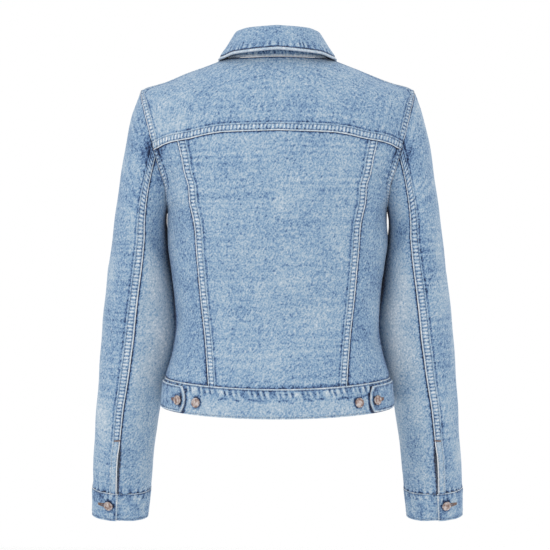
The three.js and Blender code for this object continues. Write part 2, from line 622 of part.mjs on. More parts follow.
// A point of the collar at a place round the neck. Along is 0 at the neck seam, 1 at the fold and 2 at the
// free edge. It lies on the face of the cloth that is turned in, between the stand and the fall.
function collarPoint(turn, along) {
  const reach = Math.abs(turn);
  const side = turn < 0 ? -1 : 1;
  const seam = roundBody(turn, NECK, 0);
  const at = (column) => lookUp(COLLAR, 'turn', column, reach);
  const out = new THREE.Vector3(seam.x, seam.y, 0).normalize();
  const up = new THREE.Vector3(0, 0, 1);
  const fold = seam.clone().addScaledVector(out, at('foldOut')).addScaledVector(up, at('foldUp'));
  const edge = seam.clone().addScaledVector(out, at('edgeOut')).addScaledVector(up, at('edgeUp'));
  edge.x += side * at('edgeAside');
  const straight = (t) => (t <= 1 ? seam.clone().lerp(fold, t) : fold.clone().lerp(edge, t - 1));
  if (Math.abs(along - 1) >= FOLD_ROLL) return straight(along);
  const t = (along - 1 + FOLD_ROLL) / (2 * FOLD_ROLL);
  return straight(1 - FOLD_ROLL).multiplyScalar((1 - t) ** 2)
    .addScaledVector(fold, 2 * t * (1 - t))
    .addScaledVector(straight(1 + FOLD_ROLL), t * t);
}

function collar() {
  const point = (u, along, depth) => {
    const turn = between(-COLLAR_END, COLLAR_END, u);
    const normal = normalOf(collarPoint, turn, along, -COLLAR_END, COLLAR_END, 0, 2);
    return collarPoint(turn, along).addScaledVector(normal, -depth * DOUBLED);
  };
  const place = (low, high) => (u, v, depth) => point(u, between(low, high, v), depth);
  wall('collar_stand', BAND_COLOUR, steps(40), steps(2), place(0.01, STAND_TOP));
  const roll = steps(6, 1 - FOLD_ROLL, 1 + FOLD_ROLL);
  const downFall = shares(chain([FALL_START], roll, steps(3, 1 + FOLD_ROLL, 2)));
  wall('collar_fall', DENIM_COLOUR, steps(40), downFall, place(FALL_START, 2));
}

// A shank button: a domed head with a raised rim on a short post, standing just clear of the cloth.
function button(name, radius, seat, normal) {
  const outline = [
    [0, SEAM_GAP], [0.34, SEAM_GAP], [0.34, 1.3], [1, 1.6], [0.94, 3], [0.7, 2.7], [0, 3.1],
  ].map(([share, height]) => new THREE.Vector2(share * radius, height));
  const geometry = new THREE.LatheGeometry(outline, 14);
  const material = new THREE.MeshStandardMaterial({ color: METAL_COLOUR, roughness: 0.45, metalness: 0.9 });
  const mesh = new THREE.Mesh(geometry, material);
  mesh.name = name;
  mesh.position.copy(seat);
  mesh.quaternion.setFromUnitVectors(new THREE.Vector3(0, 1, 0), normal);
  jacket.add(mesh);
}

function buttons() {
  const seatOn = (place) => {
    const seat = place(0);
    return [seat, place(1).sub(seat).normalize()];
  };
  for (let i = 0; i < BUTTON_COUNT; i += 1) {
    const z = between(TOP_BUTTON_Z, BOTTOM_BUTTON_Z, i / (BUTTON_COUNT - 1));
    const row = rowAtHeight(-1, 0, z);
    const proud = DOUBLED + SEAM_GAP + (row < BAND_TOP ? BAND_PROUD : 0);
    const seat = seatOn((lift) => torso(-1, 0, row, proud + lift));
    button('button_front_' + (i + 1), FRONT_BUTTON_RADIUS, ...seat);
  }
  for (const [word, side] of SIDES) {
    const row = BUTTON_ROW;
    const onTab = side * acrossAtX(1, row, TAB_BUTTON_X);
    const onBand = side * acrossAtX(1, row, BAND_BUTTON_X);
    const tabTop = BAND_PROUD + SEAM_GAP + DOUBLED;
    const cuffMiddle = (CUFF_TOP_ROW + CUFF_EDGE_ROW) / 2;
    const cuffAngle = BACK_SEAM_ANGLE - CUFF_BUTTON_ANGLE;
    const seats = {
      tab: seatOn((lift) => torso(1, onTab, row, tabTop + lift)),
      band: seatOn((lift) => torso(1, onBand, row, BAND_PROUD + lift)),
      cuff: seatOn((lift) => sleeve(side, cuffAngle, cuffMiddle, BAND_PROUD + lift)),
    };
    for (const [place, seat] of Object.entries(seats)) {
      button('button_' + place + '_' + word, SMALL_BUTTON_RADIUS, ...seat);
    }
  }
}

backPanels();
frontPanels();
waistband();
sleeves();
collar();
buttons();

export default jacket;
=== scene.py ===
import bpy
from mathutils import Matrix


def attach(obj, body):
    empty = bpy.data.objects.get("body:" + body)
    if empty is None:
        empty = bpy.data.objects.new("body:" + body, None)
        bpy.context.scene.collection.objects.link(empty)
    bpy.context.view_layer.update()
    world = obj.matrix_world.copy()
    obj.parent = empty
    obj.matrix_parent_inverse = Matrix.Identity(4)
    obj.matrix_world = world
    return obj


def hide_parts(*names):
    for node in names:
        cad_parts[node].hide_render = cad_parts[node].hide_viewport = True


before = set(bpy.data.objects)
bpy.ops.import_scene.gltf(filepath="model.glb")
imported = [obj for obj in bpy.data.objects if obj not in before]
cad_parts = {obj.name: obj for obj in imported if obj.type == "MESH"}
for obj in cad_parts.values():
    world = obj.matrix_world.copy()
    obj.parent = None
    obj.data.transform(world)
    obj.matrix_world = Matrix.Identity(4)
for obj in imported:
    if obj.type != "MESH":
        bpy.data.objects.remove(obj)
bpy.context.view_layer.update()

import math

import bpy
import numpy as np

# Back yoke. One piece across the shoulder blades, of twelve-ounce cotton twill. Its lower edge is folded and
# lapped over the panels, and fixed with a twin-needle flat-felled seam that the wash has roped and worn white.

# The torso it is cut to fit: rows of quarter arcs in mm, from the hem up, each from the centre line round
# to the side, the armhole or the shoulder line. +Z is up, -Y is the garment's front and +X its left.
BAND_TOP, UNDERARM, SHOULDER_TIP, NECK, PANEL_TOP = 1, 6, 13, 16, 15.97
#   centreY, centreZ, reach, sideX, sideY, sideZ, inset, sweep, drop
BACK = [
    (102, -520, 96, 166.5, 0, -509, 0, 58, -4), (100, -478, 94, 162.5, 0, -466, 0, 56, -3),
    (91, -432, 88, 152.5, 0, -430, 0, 52, -1), (86, -388, 86, 147, 0, -388, 0, 50, 0),
    (97, -320, 92, 152.5, -3, -320, 0, 58, 0), (107, -262, 98, 158.5, -8, -262, 0, 66, 0),
    (112, -222, 100, 159, -8, -226, 0, 72, 2), (113, -205, 98, 159, 18, -214, 4, 50, 4),
    (113.5, -185, 96, 160.5, 36, -193, 18, 38, 4), (113, -163, 94, 169, 45, -165, 26, 32, 2),
    (111, -140, 92, 176, 47, -140, 30, 29, 0), (108, -116, 90, 185.5, 42, -104, 30, 28, -2),
    (102, -92, 90, 194, 27, -71, 26, 34, -4), (97, -75, 90, 198, 0, -54, 12, 48, -6),
    (90, -55, 80, 159, 1, -39.5, 8, 42, -4), (79, -32, 62, 115, 2, -22.5, 4, 40, -2),
    (64, -10, 40, 72, 4, -6, 0, 34, -2),
]
FRONT = [
    (-112, -514, 92, 166.5, 0, -509, 0, -62, -2), (-110, -472, 90, 162.5, 0, -466, 0, -60, -2),
    (-106, -431, 84, 152.5, 0, -430, 0, -58, 0), (-105, -388, 82, 147, 0, -388, 0, -58, 0),
    (-127, -320, 96, 152.5, -3, -320, 0, -72, 0), (-144, -262, 108, 158.5, -8, -262, 0, -84, 0),
    (-148, -236, 110, 159, -8, -226, 0, -86, -2), (-148, -222, 108, 159, -32, -216, 2, -66, 0),
    (-145, -205, 104, 160, -50, -195, 6, -52, 2), (-139, -184, 98, 164, -58, -168, 14, -42, 4),
    (-130, -162, 92, 171.5, -58, -134, 18, -36, 2), (-119, -142, 88, 181, -50, -98, 16, -36, -3),
    (-106, -124, 84, 193, -31, -68, 12, -38, -6), (-97, -113, 80, 198, 0, -54, 6, -48, -8),
    (-86, -101, 70, 159, 1, -39.5, 8, -40, -10), (-75, -90, 55, 115, 2, -22.5, 4, -36, -10),
    (-63, -80, 36, 72, 4, -6, 0, -34, -12),
]


def curve(values):
    """A smooth curve through evenly spaced values that never swings past them."""
    v = np.array(values, float)
    d = np.diff(v)
    before, after = d[:-1], d[1:]
    total = np.where(before + after == 0, 1, before + after)
    m = np.concatenate([d[:1], np.where(before * after <= 0, 0, 2 * before * after / total), d[-1:]])

    def at(t):
        t = np.asarray(t, float)
        i = np.clip(np.floor(t).astype(int), 0, len(v) - 2)
        u = t - i
        return ((2 * u**3 - 3 * u**2 + 1) * v[i] + (u**3 - 2 * u**2 + u) * m[i]
                + (3 * u**2 - 2 * u**3) * v[i + 1] + (u**3 - u**2) * m[i + 1])
    return at


def look_up(table):
    """The same, from pairs of a key and a value."""
    keys, values = zip(*table)
    smooth = curve(values)
    return lambda key: smooth(np.interp(key, keys, range(len(keys))))


def soft_step(low, high, value):
    t = np.clip((value - low) / (high - low), 0, 1)
    return t * t * (3 - 2 * t)


def hill(value, middle, width):
    return np.exp(-(((value - middle) / width) ** 2))


ARCS = {1: [curve(column) for column in zip(*BACK)], -1: [curve(column) for column in zip(*FRONT)]}


def torso(half, across, row):
    """A point of the back (half 1) or front (half -1): across is -1 to 1, row counts up from the hem."""
    across, row = np.broadcast_arrays(np.asarray(across, float), np.asarray(row, float))
    cy, cz, reach, sx, sy, sz, inset, sweep, drop = [c(row) for c in ARCS[half]]
    s = np.abs(across)
    a, b, c, d = (1 - s) ** 3, 3 * (1 - s) ** 2 * s, 3 * (1 - s) * s * s, s**3
    x = b * reach + c * (sx - inset) + d * sx
    y = (a + b) * cy + c * (sy + sweep) + d * sy
    z = (a + b) * cz + c * (sz + drop) + d * sz
    return np.stack([np.sign(across) * x, y, z], -1)


def root(function, low, high):
    """Where a rising function of an array crosses zero."""
    for _ in range(40):
        middle = (low + high) / 2
        below = function(middle) < 0
        low, high = np.where(below, middle, low), np.where(below, high, middle)
    return (low + high) / 2


def cut_across(half, seam):
    """The row, at each share across, on which a seam given by height at a distance from the centre lies."""
    height = look_up(seam)
    s = np.linspace(0, 1, 81)

    def above(row):
        p = torso(half, s, row)
        return p[..., 2] - height(p[..., 0])
    rows = root(above, np.full(81, 4.0), np.full(81, 15.9))
    return lambda across: np.interp(np.abs(across), s, rows)


def length_along(p, axis):
    """Distance along a grid's lines from their first point."""
    step = np.linalg.norm(np.diff(p, axis=axis), axis=-1)
    first = np.zeros_like(np.take(step, [0], axis=axis))
    return np.concatenate([first, np.cumsum(step, axis=axis)], axis=axis)


def by_distance(half, row, low, high, places):
    """The shares across that lie at given parts of the way, by distance, from one share to another on a row."""
    fine = np.linspace(low, high, 240)
    walked = length_along(torso(half, fine, row), 0)
    return np.interp(places * walked[-1], walked, fine)


# Distances from a seam at which the cloth is given extra lines, the stitch rows at 1.8 and 9.6 among them,
# which are lines 3 and 9 from the seam, or from the grid's far end where the seam is there.
NEAR = [0, 0.6, 1.2, 1.8, 2.6, 3.8, 5.7, 7.6, 8.8, 9.6, 10.6, 11.6, 12.4, 13.6, 16, 20, 25]
EDGE_ROW, INNER_ROW, EDGE_END, INNER_END = 3, 9, -4, -10


def spread(total, step, start=False, end=False):
    """Places from 0 to 1 along a total length, with the extra lines near a seamed start or end."""
    low = NEAR if start else [0]
    high = [total - d for d in reversed(NEAR)] if end else [total]
    count = max(int(round((high[0] - low[-1]) / step)), 1)
    middle = np.linspace(low[-1], high[0], count + 1)[1:-1]
    return np.array(low + list(middle) + high) / total


def wobble(p, size, seed):
    """Soft irregular swelling, about -1 to 1, whose hills are about a size apart."""
    random = np.random.default_rng(int(seed))
    total = np.zeros(p.shape[:-1])
    for _ in range(7):
        way = random.normal(size=3)
        way /= np.linalg.norm(way)
        total += np.sin(p @ way * (2 * math.pi / size) * random.uniform(0.7, 1.5) + random.uniform(0, 6.28))
    return total / 3.2


def rope(run, pitch, seed):
    """Uneven ripples along a seam, about -1 to 1."""
    w = 2 * math.pi / pitch
    phase = run * w + 1.4 * np.sin(run * w / 3.7 + seed) + 0.9 * np.sin(run * w / 1.9 + 2.1 * seed)
    return np.sin(phase) * (0.65 + 0.35 * np.sin(run * w / 5.3 + 3.1 * seed))


def lapped(d, run, seed):
    """Relief and tone of the upper piece of a flat-felled seam, at a distance d from its folded edge. Its edge
    and doubled strip are worn pale, with painted shade in its two stitch grooves and a painted shadow past the
    strip.
    """
    ripple = rope(run, 10.6, seed)
    doubled = soft_step(12.3, 11.5, d)
    past = np.maximum(d - 12, 0)
    relief = 0.95 * doubled - 0.45 * hill(d, 2.2, 0.8) - 0.4 * hill(d, 9.6, 0.8) + 0.3 * ripple * doubled
    relief = relief + 0.7 * ripple * np.exp(-past / 7) * (1 - doubled)
    tone = 0.08 * doubled + 0.34 * hill(d, 0, 1.3) - 0.36 * hill(d, 2.5, 0.8) - 0.30 * hill(d, 9.8, 0.9)
    tone = tone + 0.06 * ripple + 0.12 * hill(d, 11.2, 0.6) - 0.24 * hill(d, 13.2, 1.2)
    return relief, tone - (0.04 - 0.05 * ripple) * np.exp(-past / 8) * (1 - doubled)


def ladder(d):
    """Where the cross bars of a felled seam show: between its two rows of stitches."""
    return soft_step(1.8, 3.2, d) * soft_step(10.2, 8.6, d)


def linear(code):
    channels = [int(code[i:i + 2], 16) / 255 for i in (1, 3, 5)]
    return tuple(c / 12.92 if c <= 0.04045 else ((c + 0.055) / 1.055) ** 2.4 for c in channels) + (1.0,)


def node(tree, kind, *inputs, stops=(), **settings):
    """Adds a node. Inputs go in order to its sockets: a socket, or a node for its first output, is linked.
    Settings are its properties, or its inputs by name, and stops are a ramp's positions and colours."""
    made = tree.nodes.new(kind)
    if stops:
        while len(made.color_ramp.elements) < len(stops):
            made.color_ramp.elements.new(0.5)
        for element, (position, code) in zip(made.color_ramp.elements, stops):
            element.position, element.color = position, linear(code)
    for name, value in settings.items():
        if hasattr(made, name):
            setattr(made, name, value)
    named = [(made.inputs[name.replace("_", " ")], value)
             for name, value in settings.items() if not hasattr(made, name)]
    for socket, value in list(zip(made.inputs, inputs)) + named:
        if isinstance(value, bpy.types.Node):
            value = value.outputs[0]
        if isinstance(value, bpy.types.NodeSocket):
            tree.links.new(value, socket)
        else:
            socket.default_value = value
    return made


def new_material(name, **inputs):
    """A material, its node tree and its shader, whose inputs are given by name."""
    material = bpy.data.materials.new(name)
    material.use_nodes = True
    shader = material.node_tree.nodes["Principled BSDF"]
    for label, value in inputs.items():
        shader.inputs[label.replace("_", " ")].default_value = value
    return material, material.node_tree, shader


def placed(name, data):
    made = bpy.data.objects.new(name, data)
    bpy.context.scene.collection.objects.link(made)
    return made


def denim(name, shift):
    """Stone-washed denim: indigo warp worn back to light blue over a white weft. The cloth's attributes say
    how pale a place is (tone), where a seam's cross bars are (strip, run), and which face is the inside."""
    material, tree, shader = new_material(name, Roughness=0.92, Sheen_Weight=0.12, Sheen_Roughness=0.5,
                                          Specular_IOR_Level=0.25)
    place = node(tree, "ShaderNodeTexCoord").outputs["Object"]
    tone, strip, run, inside = [node(tree, "ShaderNodeAttribute", attribute_name=label).outputs["Fac"]
                                for label in ("tone", "strip", "run", "inside")]
    # Warp streaks run down the cloth and weft ones across it. Real threads are 0.5 mm apart, drawn coarser.
    # The twill's line leans, so the warp streaks do too.
    #   scale along x, y, z per metre, lean in degrees, strength
    speckles = [((530, 530, 160), 28, 0.75), ((190, 190, 500), -12, 0.26), ((405, 405, 405), 0, 1.05),
                ((42, 42, 30), 0, 0.2)]
    value = node(tree, "ShaderNodeMath", tone, shift - sum(s for _, _, s in speckles) / 2, operation="ADD")
    noises = []
    for scale, lean, strength in speckles:
        leant = node(tree, "ShaderNodeMapping", place, Rotation=(0, math.radians(lean), 0))
        scaled = node(tree, "ShaderNodeMapping", leant, Scale=scale)
        noises.append(node(tree, "ShaderNodeTexNoise", scaled, Scale=1.0, Detail=3.0, Roughness=0.6))
        value = node(tree, "ShaderNodeMath", noises[-1], strength, value, operation="MULTIPLY_ADD")
    warp, weft, grain, _ = noises
    # Each stitch of a felled seam draws the doubled cloth in, so it fades in bars 5.3 mm apart.
    jitter = node(tree, "ShaderNodeMath", grain, 3.6, run, operation="MULTIPLY_ADD")
    turn = node(tree, "ShaderNodeMath", jitter, 2 * math.pi / 5.3, operation="MULTIPLY")
    bars = node(tree, "ShaderNodeMath", turn, operation="SINE")
    bars = node(tree, "ShaderNodeMath", bars, strip, operation="MULTIPLY")
    value = node(tree, "ShaderNodeMath", bars, 0.25, value, operation="MULTIPLY_ADD")
    washed = node(tree, "ShaderNodeValToRGB", value,
                  stops=((0.0, "#1a2741"), (0.2, "#405a82"), (0.36, "#6a89ad"), (0.5, "#8aa6c0"),
                         (0.64, "#a5b8c8"), (0.82, "#bfcbd6"), (1.0, "#e0e3e6")))
    # The inside of the cloth shows mostly the undyed weft.
    share = node(tree, "ShaderNodeMath", inside, 0.75, operation="MULTIPLY")
    mix = node(tree, "ShaderNodeMix", share, data_type="RGBA")
    tree.links.new(washed.outputs[0], mix.inputs[6])
    mix.inputs[7].default_value = linear("#c3cad6")
    tree.links.new(mix.outputs[2], shader.inputs["Base Color"])
    threads = node(tree, "ShaderNodeMath", warp, weft, operation="ADD")
    height = node(tree, "ShaderNodeMath", grain, 1.0, threads, operation="MULTIPLY_ADD")
    bump = node(tree, "ShaderNodeBump", Height=height, Strength=0.35, Distance=0.0005)
    tree.links.new(bump.outputs[0], shader.inputs["Normal"])
    return material


DENIM = denim("washed_denim", 0.0)


def cloth(name, cad, p, relief, tone, strip, run, folds=0.0, thick=1.4, held="stretched", material=DENIM,
          on=(), around=(0, 0, 0)):
    """One cut piece as a thin closed shell over a grid of points. Folds move both of its faces and relief
    moves the outer one. Returns the outer face's points and the way out of the cloth at each."""
    n = np.cross(np.gradient(p, axis=0), np.gradient(p, axis=1))
    n /= np.maximum(np.linalg.norm(n, axis=-1, keepdims=True), 1e-9)
    turned = (n * (p - around) * [1, 1, 0]).sum() < 0
    if turned:
        n = -n
    lines, columns = p.shape[:2]
    folds = np.broadcast_to(folds, (lines, columns))
    outer = p + n * (folds + relief)[..., None]
    inner = p + n * (folds - thick)[..., None]
    face = lines * columns
    k = np.arange(face).reshape(lines, columns)
    a, b, c, d = k[:-1, :-1].ravel(), k[:-1, 1:].ravel(), k[1:, 1:].ravel(), k[1:, :-1].ravel()
    quads = [np.stack([a, d, c, b], -1), np.stack([a, b, c, d], -1) + face]
    for edge in (k[0], k[-1][::-1], k[:, 0][::-1], k[:, -1]):
        quads.append(np.stack([edge[:-1], edge[1:], edge[1:] + face, edge[:-1] + face], -1))
    points = np.concatenate([outer.reshape(-1, 3), inner.reshape(-1, 3)]) / 1000
    faces = np.concatenate(quads)[:, ::-1 if turned else 1]
    mesh = bpy.data.meshes.new(name)
    mesh.from_pydata(points.tolist(), [], faces.tolist())
    flat = np.zeros((lines, columns))
    for label, outside, within in (("tone", tone, 0.6), ("strip", strip, 0), ("run", run, run),
                                   ("inside", 0, 1)):
        values = np.concatenate([(flat + outside).ravel(), (flat + within).ravel()])
        mesh.attributes.new(label, "FLOAT", "POINT").data.foreach_set("value", values.astype(np.float32))
    mesh.shade_smooth()
    mesh.set_sharp_from_angle(angle=math.radians(50))
    mesh.materials.append(material)
    piece = placed(name, mesh)
    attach(piece, "root")
    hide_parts(cad)
    # The size that the piece is cut to: its longest measure each way, and the area of the form it covers.
    cut = [round(float(length_along(p, axis).max()) / 1000, 3) for axis in (1, 0)]
    area = np.linalg.norm(np.cross(np.diff(p, axis=0)[:, :-1], np.diff(p, axis=1)[:-1]), axis=-1).sum() / 1e6
    area = min(max(area, 0.31 * cut[0] * cut[1]), cut[0] * cut[1])
    return outer, n


STITCHES = {"body": [], "sleeves": [], "bands": []}


def stitch(group, outer, n, *lines):
    """Keeps rows of topstitching: lines of the cloth's points, each with the way out of the cloth."""
    for line in lines:
        if len(outer[line]) > 1:
            STITCHES[group].append((outer[line] + n[line] * 0.12, n[line]))


BACK_YOKE_SEAM = [
    (0, -118), (78, -120), (100, -123), (124, -128), (147, -131), (159, -134), (168, -138), (184, -146),
]
BACK_YOKE = cut_across(1, BACK_YOKE_SEAM)
YOKE_WIDTH, YOKE_DEPTH, EVEN_DEPTH = 400, 112, 40
places = spread(YOKE_WIDTH, 2.3, True, True)
across = by_distance(1, 10.5, -1, 1, places)
distance = spread(YOKE_DEPTH, 3.4, start=True) * YOKE_DEPTH
t = np.linspace(0, 1, 80)[:, None]
fine = BACK_YOKE(across) + (PANEL_TOP - BACK_YOKE(across)) * t
walked = length_along(torso(1, across + 0 * fine, fine), 0)
rows = np.empty((len(distance), len(across)))
for i in range(len(across)):
    past = (walked[-1, i] - EVEN_DEPTH) / (YOKE_DEPTH - EVEN_DEPTH)
    stretch = np.where(distance < EVEN_DEPTH, distance, EVEN_DEPTH + (distance - EVEN_DEPTH) * past)
    rows[:, i] = np.interp(stretch, walked[:, i], fine[:, i])
p = torso(1, across + 0 * rows, rows)
run = length_along(p, 1)
d = distance[:, None] + 0 * rows
d_end = np.minimum(places, 1 - places)[None] * YOKE_WIDTH + 0 * rows
clear = soft_step(14, 20, d)
relief, wear_and_shade = lapped(d, run, 1.0)
end_relief, end_wear_and_shade = lapped(d_end, length_along(p, 0), 2.0)
relief = relief + end_relief * clear + 0.7 * wobble(p, 90, 11) * clear
tone = 0.515 + wear_and_shade + end_wear_and_shade * clear + 0.03 * wobble(p, 70, 12) * clear + 0.04 * hill(p[..., 0], -4, 2.5)
# A painted shadow of the collar lies in a dark line on the yoke along the neck, with a paler line just below
# it.
to_neck = np.where(np.abs(p[..., 0]) < 74, (walked[-1] - 0.97 - length_along(p, 0)), 40)
tone = tone - 0.7 * hill(to_neck, 0, 1.8) + 0.12 * hill(to_neck, 4.5, 2)
# The left blade is paler than the right one, and the right side is a little darker.
tone = tone + 0.13 * hill(np.hypot(p[..., 0] - 158, p[..., 2] + 108), 0, 34)
tone = tone - 0.03 * soft_step(60, 140, -p[..., 0])
strip = np.maximum(ladder(d), ladder(d_end) * clear)
run = np.where((d_end < 12.5) & (d > 13), length_along(p, 0)[:, :1], run)
outer, n = cloth("yoke_cloth", "back_yoke", p, relief, tone, strip, run)
FOUR_ROWS = (EDGE_ROW, INNER_ROW, EDGE_END, INNER_END)
stitch("body", outer, n, EDGE_ROW, INNER_ROW, *[np.s_[EDGE_ROW:-2, i] for i in FOUR_ROWS])

# Back panels. The centre one tapers to the waistband, and each long edge is lapped and twin stitched over
# the panel beside it. The cloth next to a seam keeps a little blue and is darkened by painted shadow, and
# the middle of the back is the palest.
BACK_LONG_SEAM = [
    (-480, 96.5), (-424, 101.5), (-375, 106.5), (-322, 111), (-267, 115.5), (-214, 125), (-188, 129.5),
    (-131, 139.5), (-112, 142.5),
]


def cut_along(half, x_at):
    """The share across, at each row, at which the torso is a given distance from the centre line."""
    rows = np.linspace(0, 16, 161)

    def past(s):
        p = torso(half, s, rows)
        return p[..., 0] - x_at(p[..., 2])
    across = root(past, np.zeros(161), np.full(161, 0.999))
    return lambda row: np.interp(row, rows, across)


def crease(x, z, folds):
    """Soft troughs and ridges: each from x1, z1 to x2, z2, so wide and so deep, fading at both ends."""
    total = np.zeros(np.broadcast(x, z).shape)
    for x1, z1, x2, z2, width, depth in folds:
        length = math.hypot(x2 - x1, z2 - z1)
        along = ((x - x1) * (x2 - x1) + (z - z1) * (z2 - z1)) / length
        across = ((x - x1) * (z2 - z1) - (z - z1) * (x2 - x1)) / length
        taper = np.clip(np.minimum(along, length - along) / (length / 2), 0, 1)
        total += depth * np.sqrt(taper) * hill(across, 0, width)
    return total


def tucked(d, run, seed):
    """Relief and tone of the cloth that runs in under a felled seam: puckered, with a painted shadow along the
    edge that the upper piece laps over, and a little blue kept beside it.
    """
    ripple = rope(run, 10.6, seed)
    tone = -0.55 * hill(d, 0, 2.0) - 0.05 * np.exp(-d / 9) + 0.08 * ripple * np.exp(-d / 8)
    return 0.9 * ripple * np.exp(-d / 7), tone


BACK_LONG = cut_along(1, look_up(BACK_LONG_SEAM))
PANEL_FOOT = 1.004
PANEL_LENGTH, CENTRE_WIDTH, SIDE_WIDTH = 352, 230, 72
up = spread(PANEL_LENGTH, 2.4)[:, None]
guess = PANEL_FOOT + (BACK_YOKE(1.0) - PANEL_FOOT) * up
places = spread(CENTRE_WIDTH, 3.0, True, True)
columns = by_distance(1, 4, -BACK_LONG(4.0), BACK_LONG(4.0), places)[None] / BACK_LONG(4.0)
across = columns * BACK_LONG(guess)
rows = PANEL_FOOT + (BACK_YOKE(across) - PANEL_FOOT) * up
p = torso(1, across, rows)
run = length_along(p, 0)
d = np.minimum(places, 1 - places)[None] * CENTRE_WIDTH + 0 * rows
foot, under_yoke = up * PANEL_LENGTH, (1 - up) * PANEL_LENGTH
clear = soft_step(14, 30, d)
relief, wear_and_shade = lapped(d, run + np.where(columns < 0, 37, 0), 3.0)
top_relief, top_wear_and_shade = tucked(under_yoke, length_along(p, 1), 4.0)
relief = relief + top_relief * clear + 0.25 * wobble(p, 26, 22) * clear
drag = rope(length_along(p, 1) + 0.9 * foot, 12, 2.0) * np.exp(-foot / 11) * clear
relief += 0.9 * drag
# The photographed back hangs nearly smooth, with faint diagonal drags from the blades to the waist.
folds = 0.8 * wobble(p, 110, 21) * clear
tone = 0.525 + wear_and_shade + top_wear_and_shade + 0.035 * wobble(p, 80, 23) * clear + 0.03 * hill(p[..., 0], -4, 4)
# A painted shadow lies along the waistband's top edge, and the panel is a little darker just above it.
tone = tone + 0.10 * drag - 0.35 * hill(foot, 0, 2.2) - 0.04 * np.exp(-foot / 14) * clear
outer, n = cloth("centre_back_cloth", "back_centre", p, relief, tone, ladder(d), run, folds)
stitch("body", outer, n, *[np.s_[:, i] for i in FOUR_ROWS])


def from_corner(p, side):
    """Distance from the point where the yoke's seam meets an armhole."""
    return np.linalg.norm(p - torso(1, side, BACK_YOKE(1.0)), axis=-1)


#   x1, z1, x2, z2, width, depth
SIDE_FOLDS = [
    (168, -392, 118, -372, 15, -3), (-166, -420, -122, -402, 15, -3), (160, -232, 140, -330, 14, 2.5),
    (-160, -238, -142, -322, 14, 2.5), (170, -150, 146, -190, 11, -2.2), (-170, -150, -148, -196, 11, -2.2),
]
SIDES = (("left", 1), ("right", -1))
for word, side in SIDES:
    places = spread(SIDE_WIDTH, 2.8, True, True)[None]
    inner = float(BACK_LONG(7.5))
    columns = (by_distance(1, 7.5, inner, 1, places) - inner) / (1 - inner)
    across = side * (BACK_LONG(guess) + (1 - BACK_LONG(guess)) * columns)
    rows = PANEL_FOOT + (BACK_YOKE(across) - PANEL_FOOT) * up
    p = torso(1, across, rows)
    run = length_along(p, 0)[:, -1:] + 0 * rows
    d_in, d_out = places * SIDE_WIDTH + 0 * rows, (1 - places) * SIDE_WIDTH + 0 * rows
    armhole = soft_step(UNDERARM - 0.02, UNDERARM + 0.02, rows)
    relief, wear_and_shade = tucked(d_in, run, 5.0 + side)
    out_relief, out_wear_and_shade = lapped(d_out, run, 6.0 + side)
    top_relief, top_wear_and_shade = tucked(under_yoke, length_along(p, 1), 7.0)
    clear = soft_step(2, 12, d_in) * soft_step(2, 12, d_out)
    relief = relief + out_relief * armhole + top_relief
    folds = (1.0 * wobble(p * [1, 1, 1.3], 60, 32 + side) + crease(p[..., 0], p[..., 2], SIDE_FOLDS)) * clear
    tone = 0.47 + wear_and_shade + out_wear_and_shade * armhole + top_wear_and_shade + 0.05 * wobble(p, 55, 34 + side) * clear
    # A painted shadow lies along the waistband's top edge, painted shade darkens the side seam below the
    # underarm where the sleeve hangs close, and painted shade fills the hollow where the yoke's seam meets the
    # armhole.
    tone = tone - 0.35 * hill(foot, 0, 2.2) - 0.6 * np.exp(-d_out / 6) * (1 - armhole) + 0.05 * armhole
    tone = tone - 0.25 * hill(from_corner(p, side), 9, 10)
    strip = ladder(d_out) * armhole
    outer, n = cloth(f"side_back_cloth_{word}", f"back_side_{word}", p, relief, tone, strip, run, folds)
    stitch("body", outer, n, *[(rows[:, i] > UNDERARM, i) for i in (EDGE_END, INNER_END)])

# Fronts. A panel and a yoke each side with a felled seam between them, and two stitched plackets down the
# middle, the right one on top. The photographed side hides them, so they are finished plainly.
FRONT_YOKE_SEAM = [(0, -176), (60, -176), (120, -174), (175, -170)]
FRONT_YOKE = cut_across(-1, FRONT_YOKE_SEAM)
PLACKET_HALF, FRONT_WIDTH = 16.2, 170
PLACKET = cut_along(-1, lambda z: PLACKET_HALF + 0 * z)
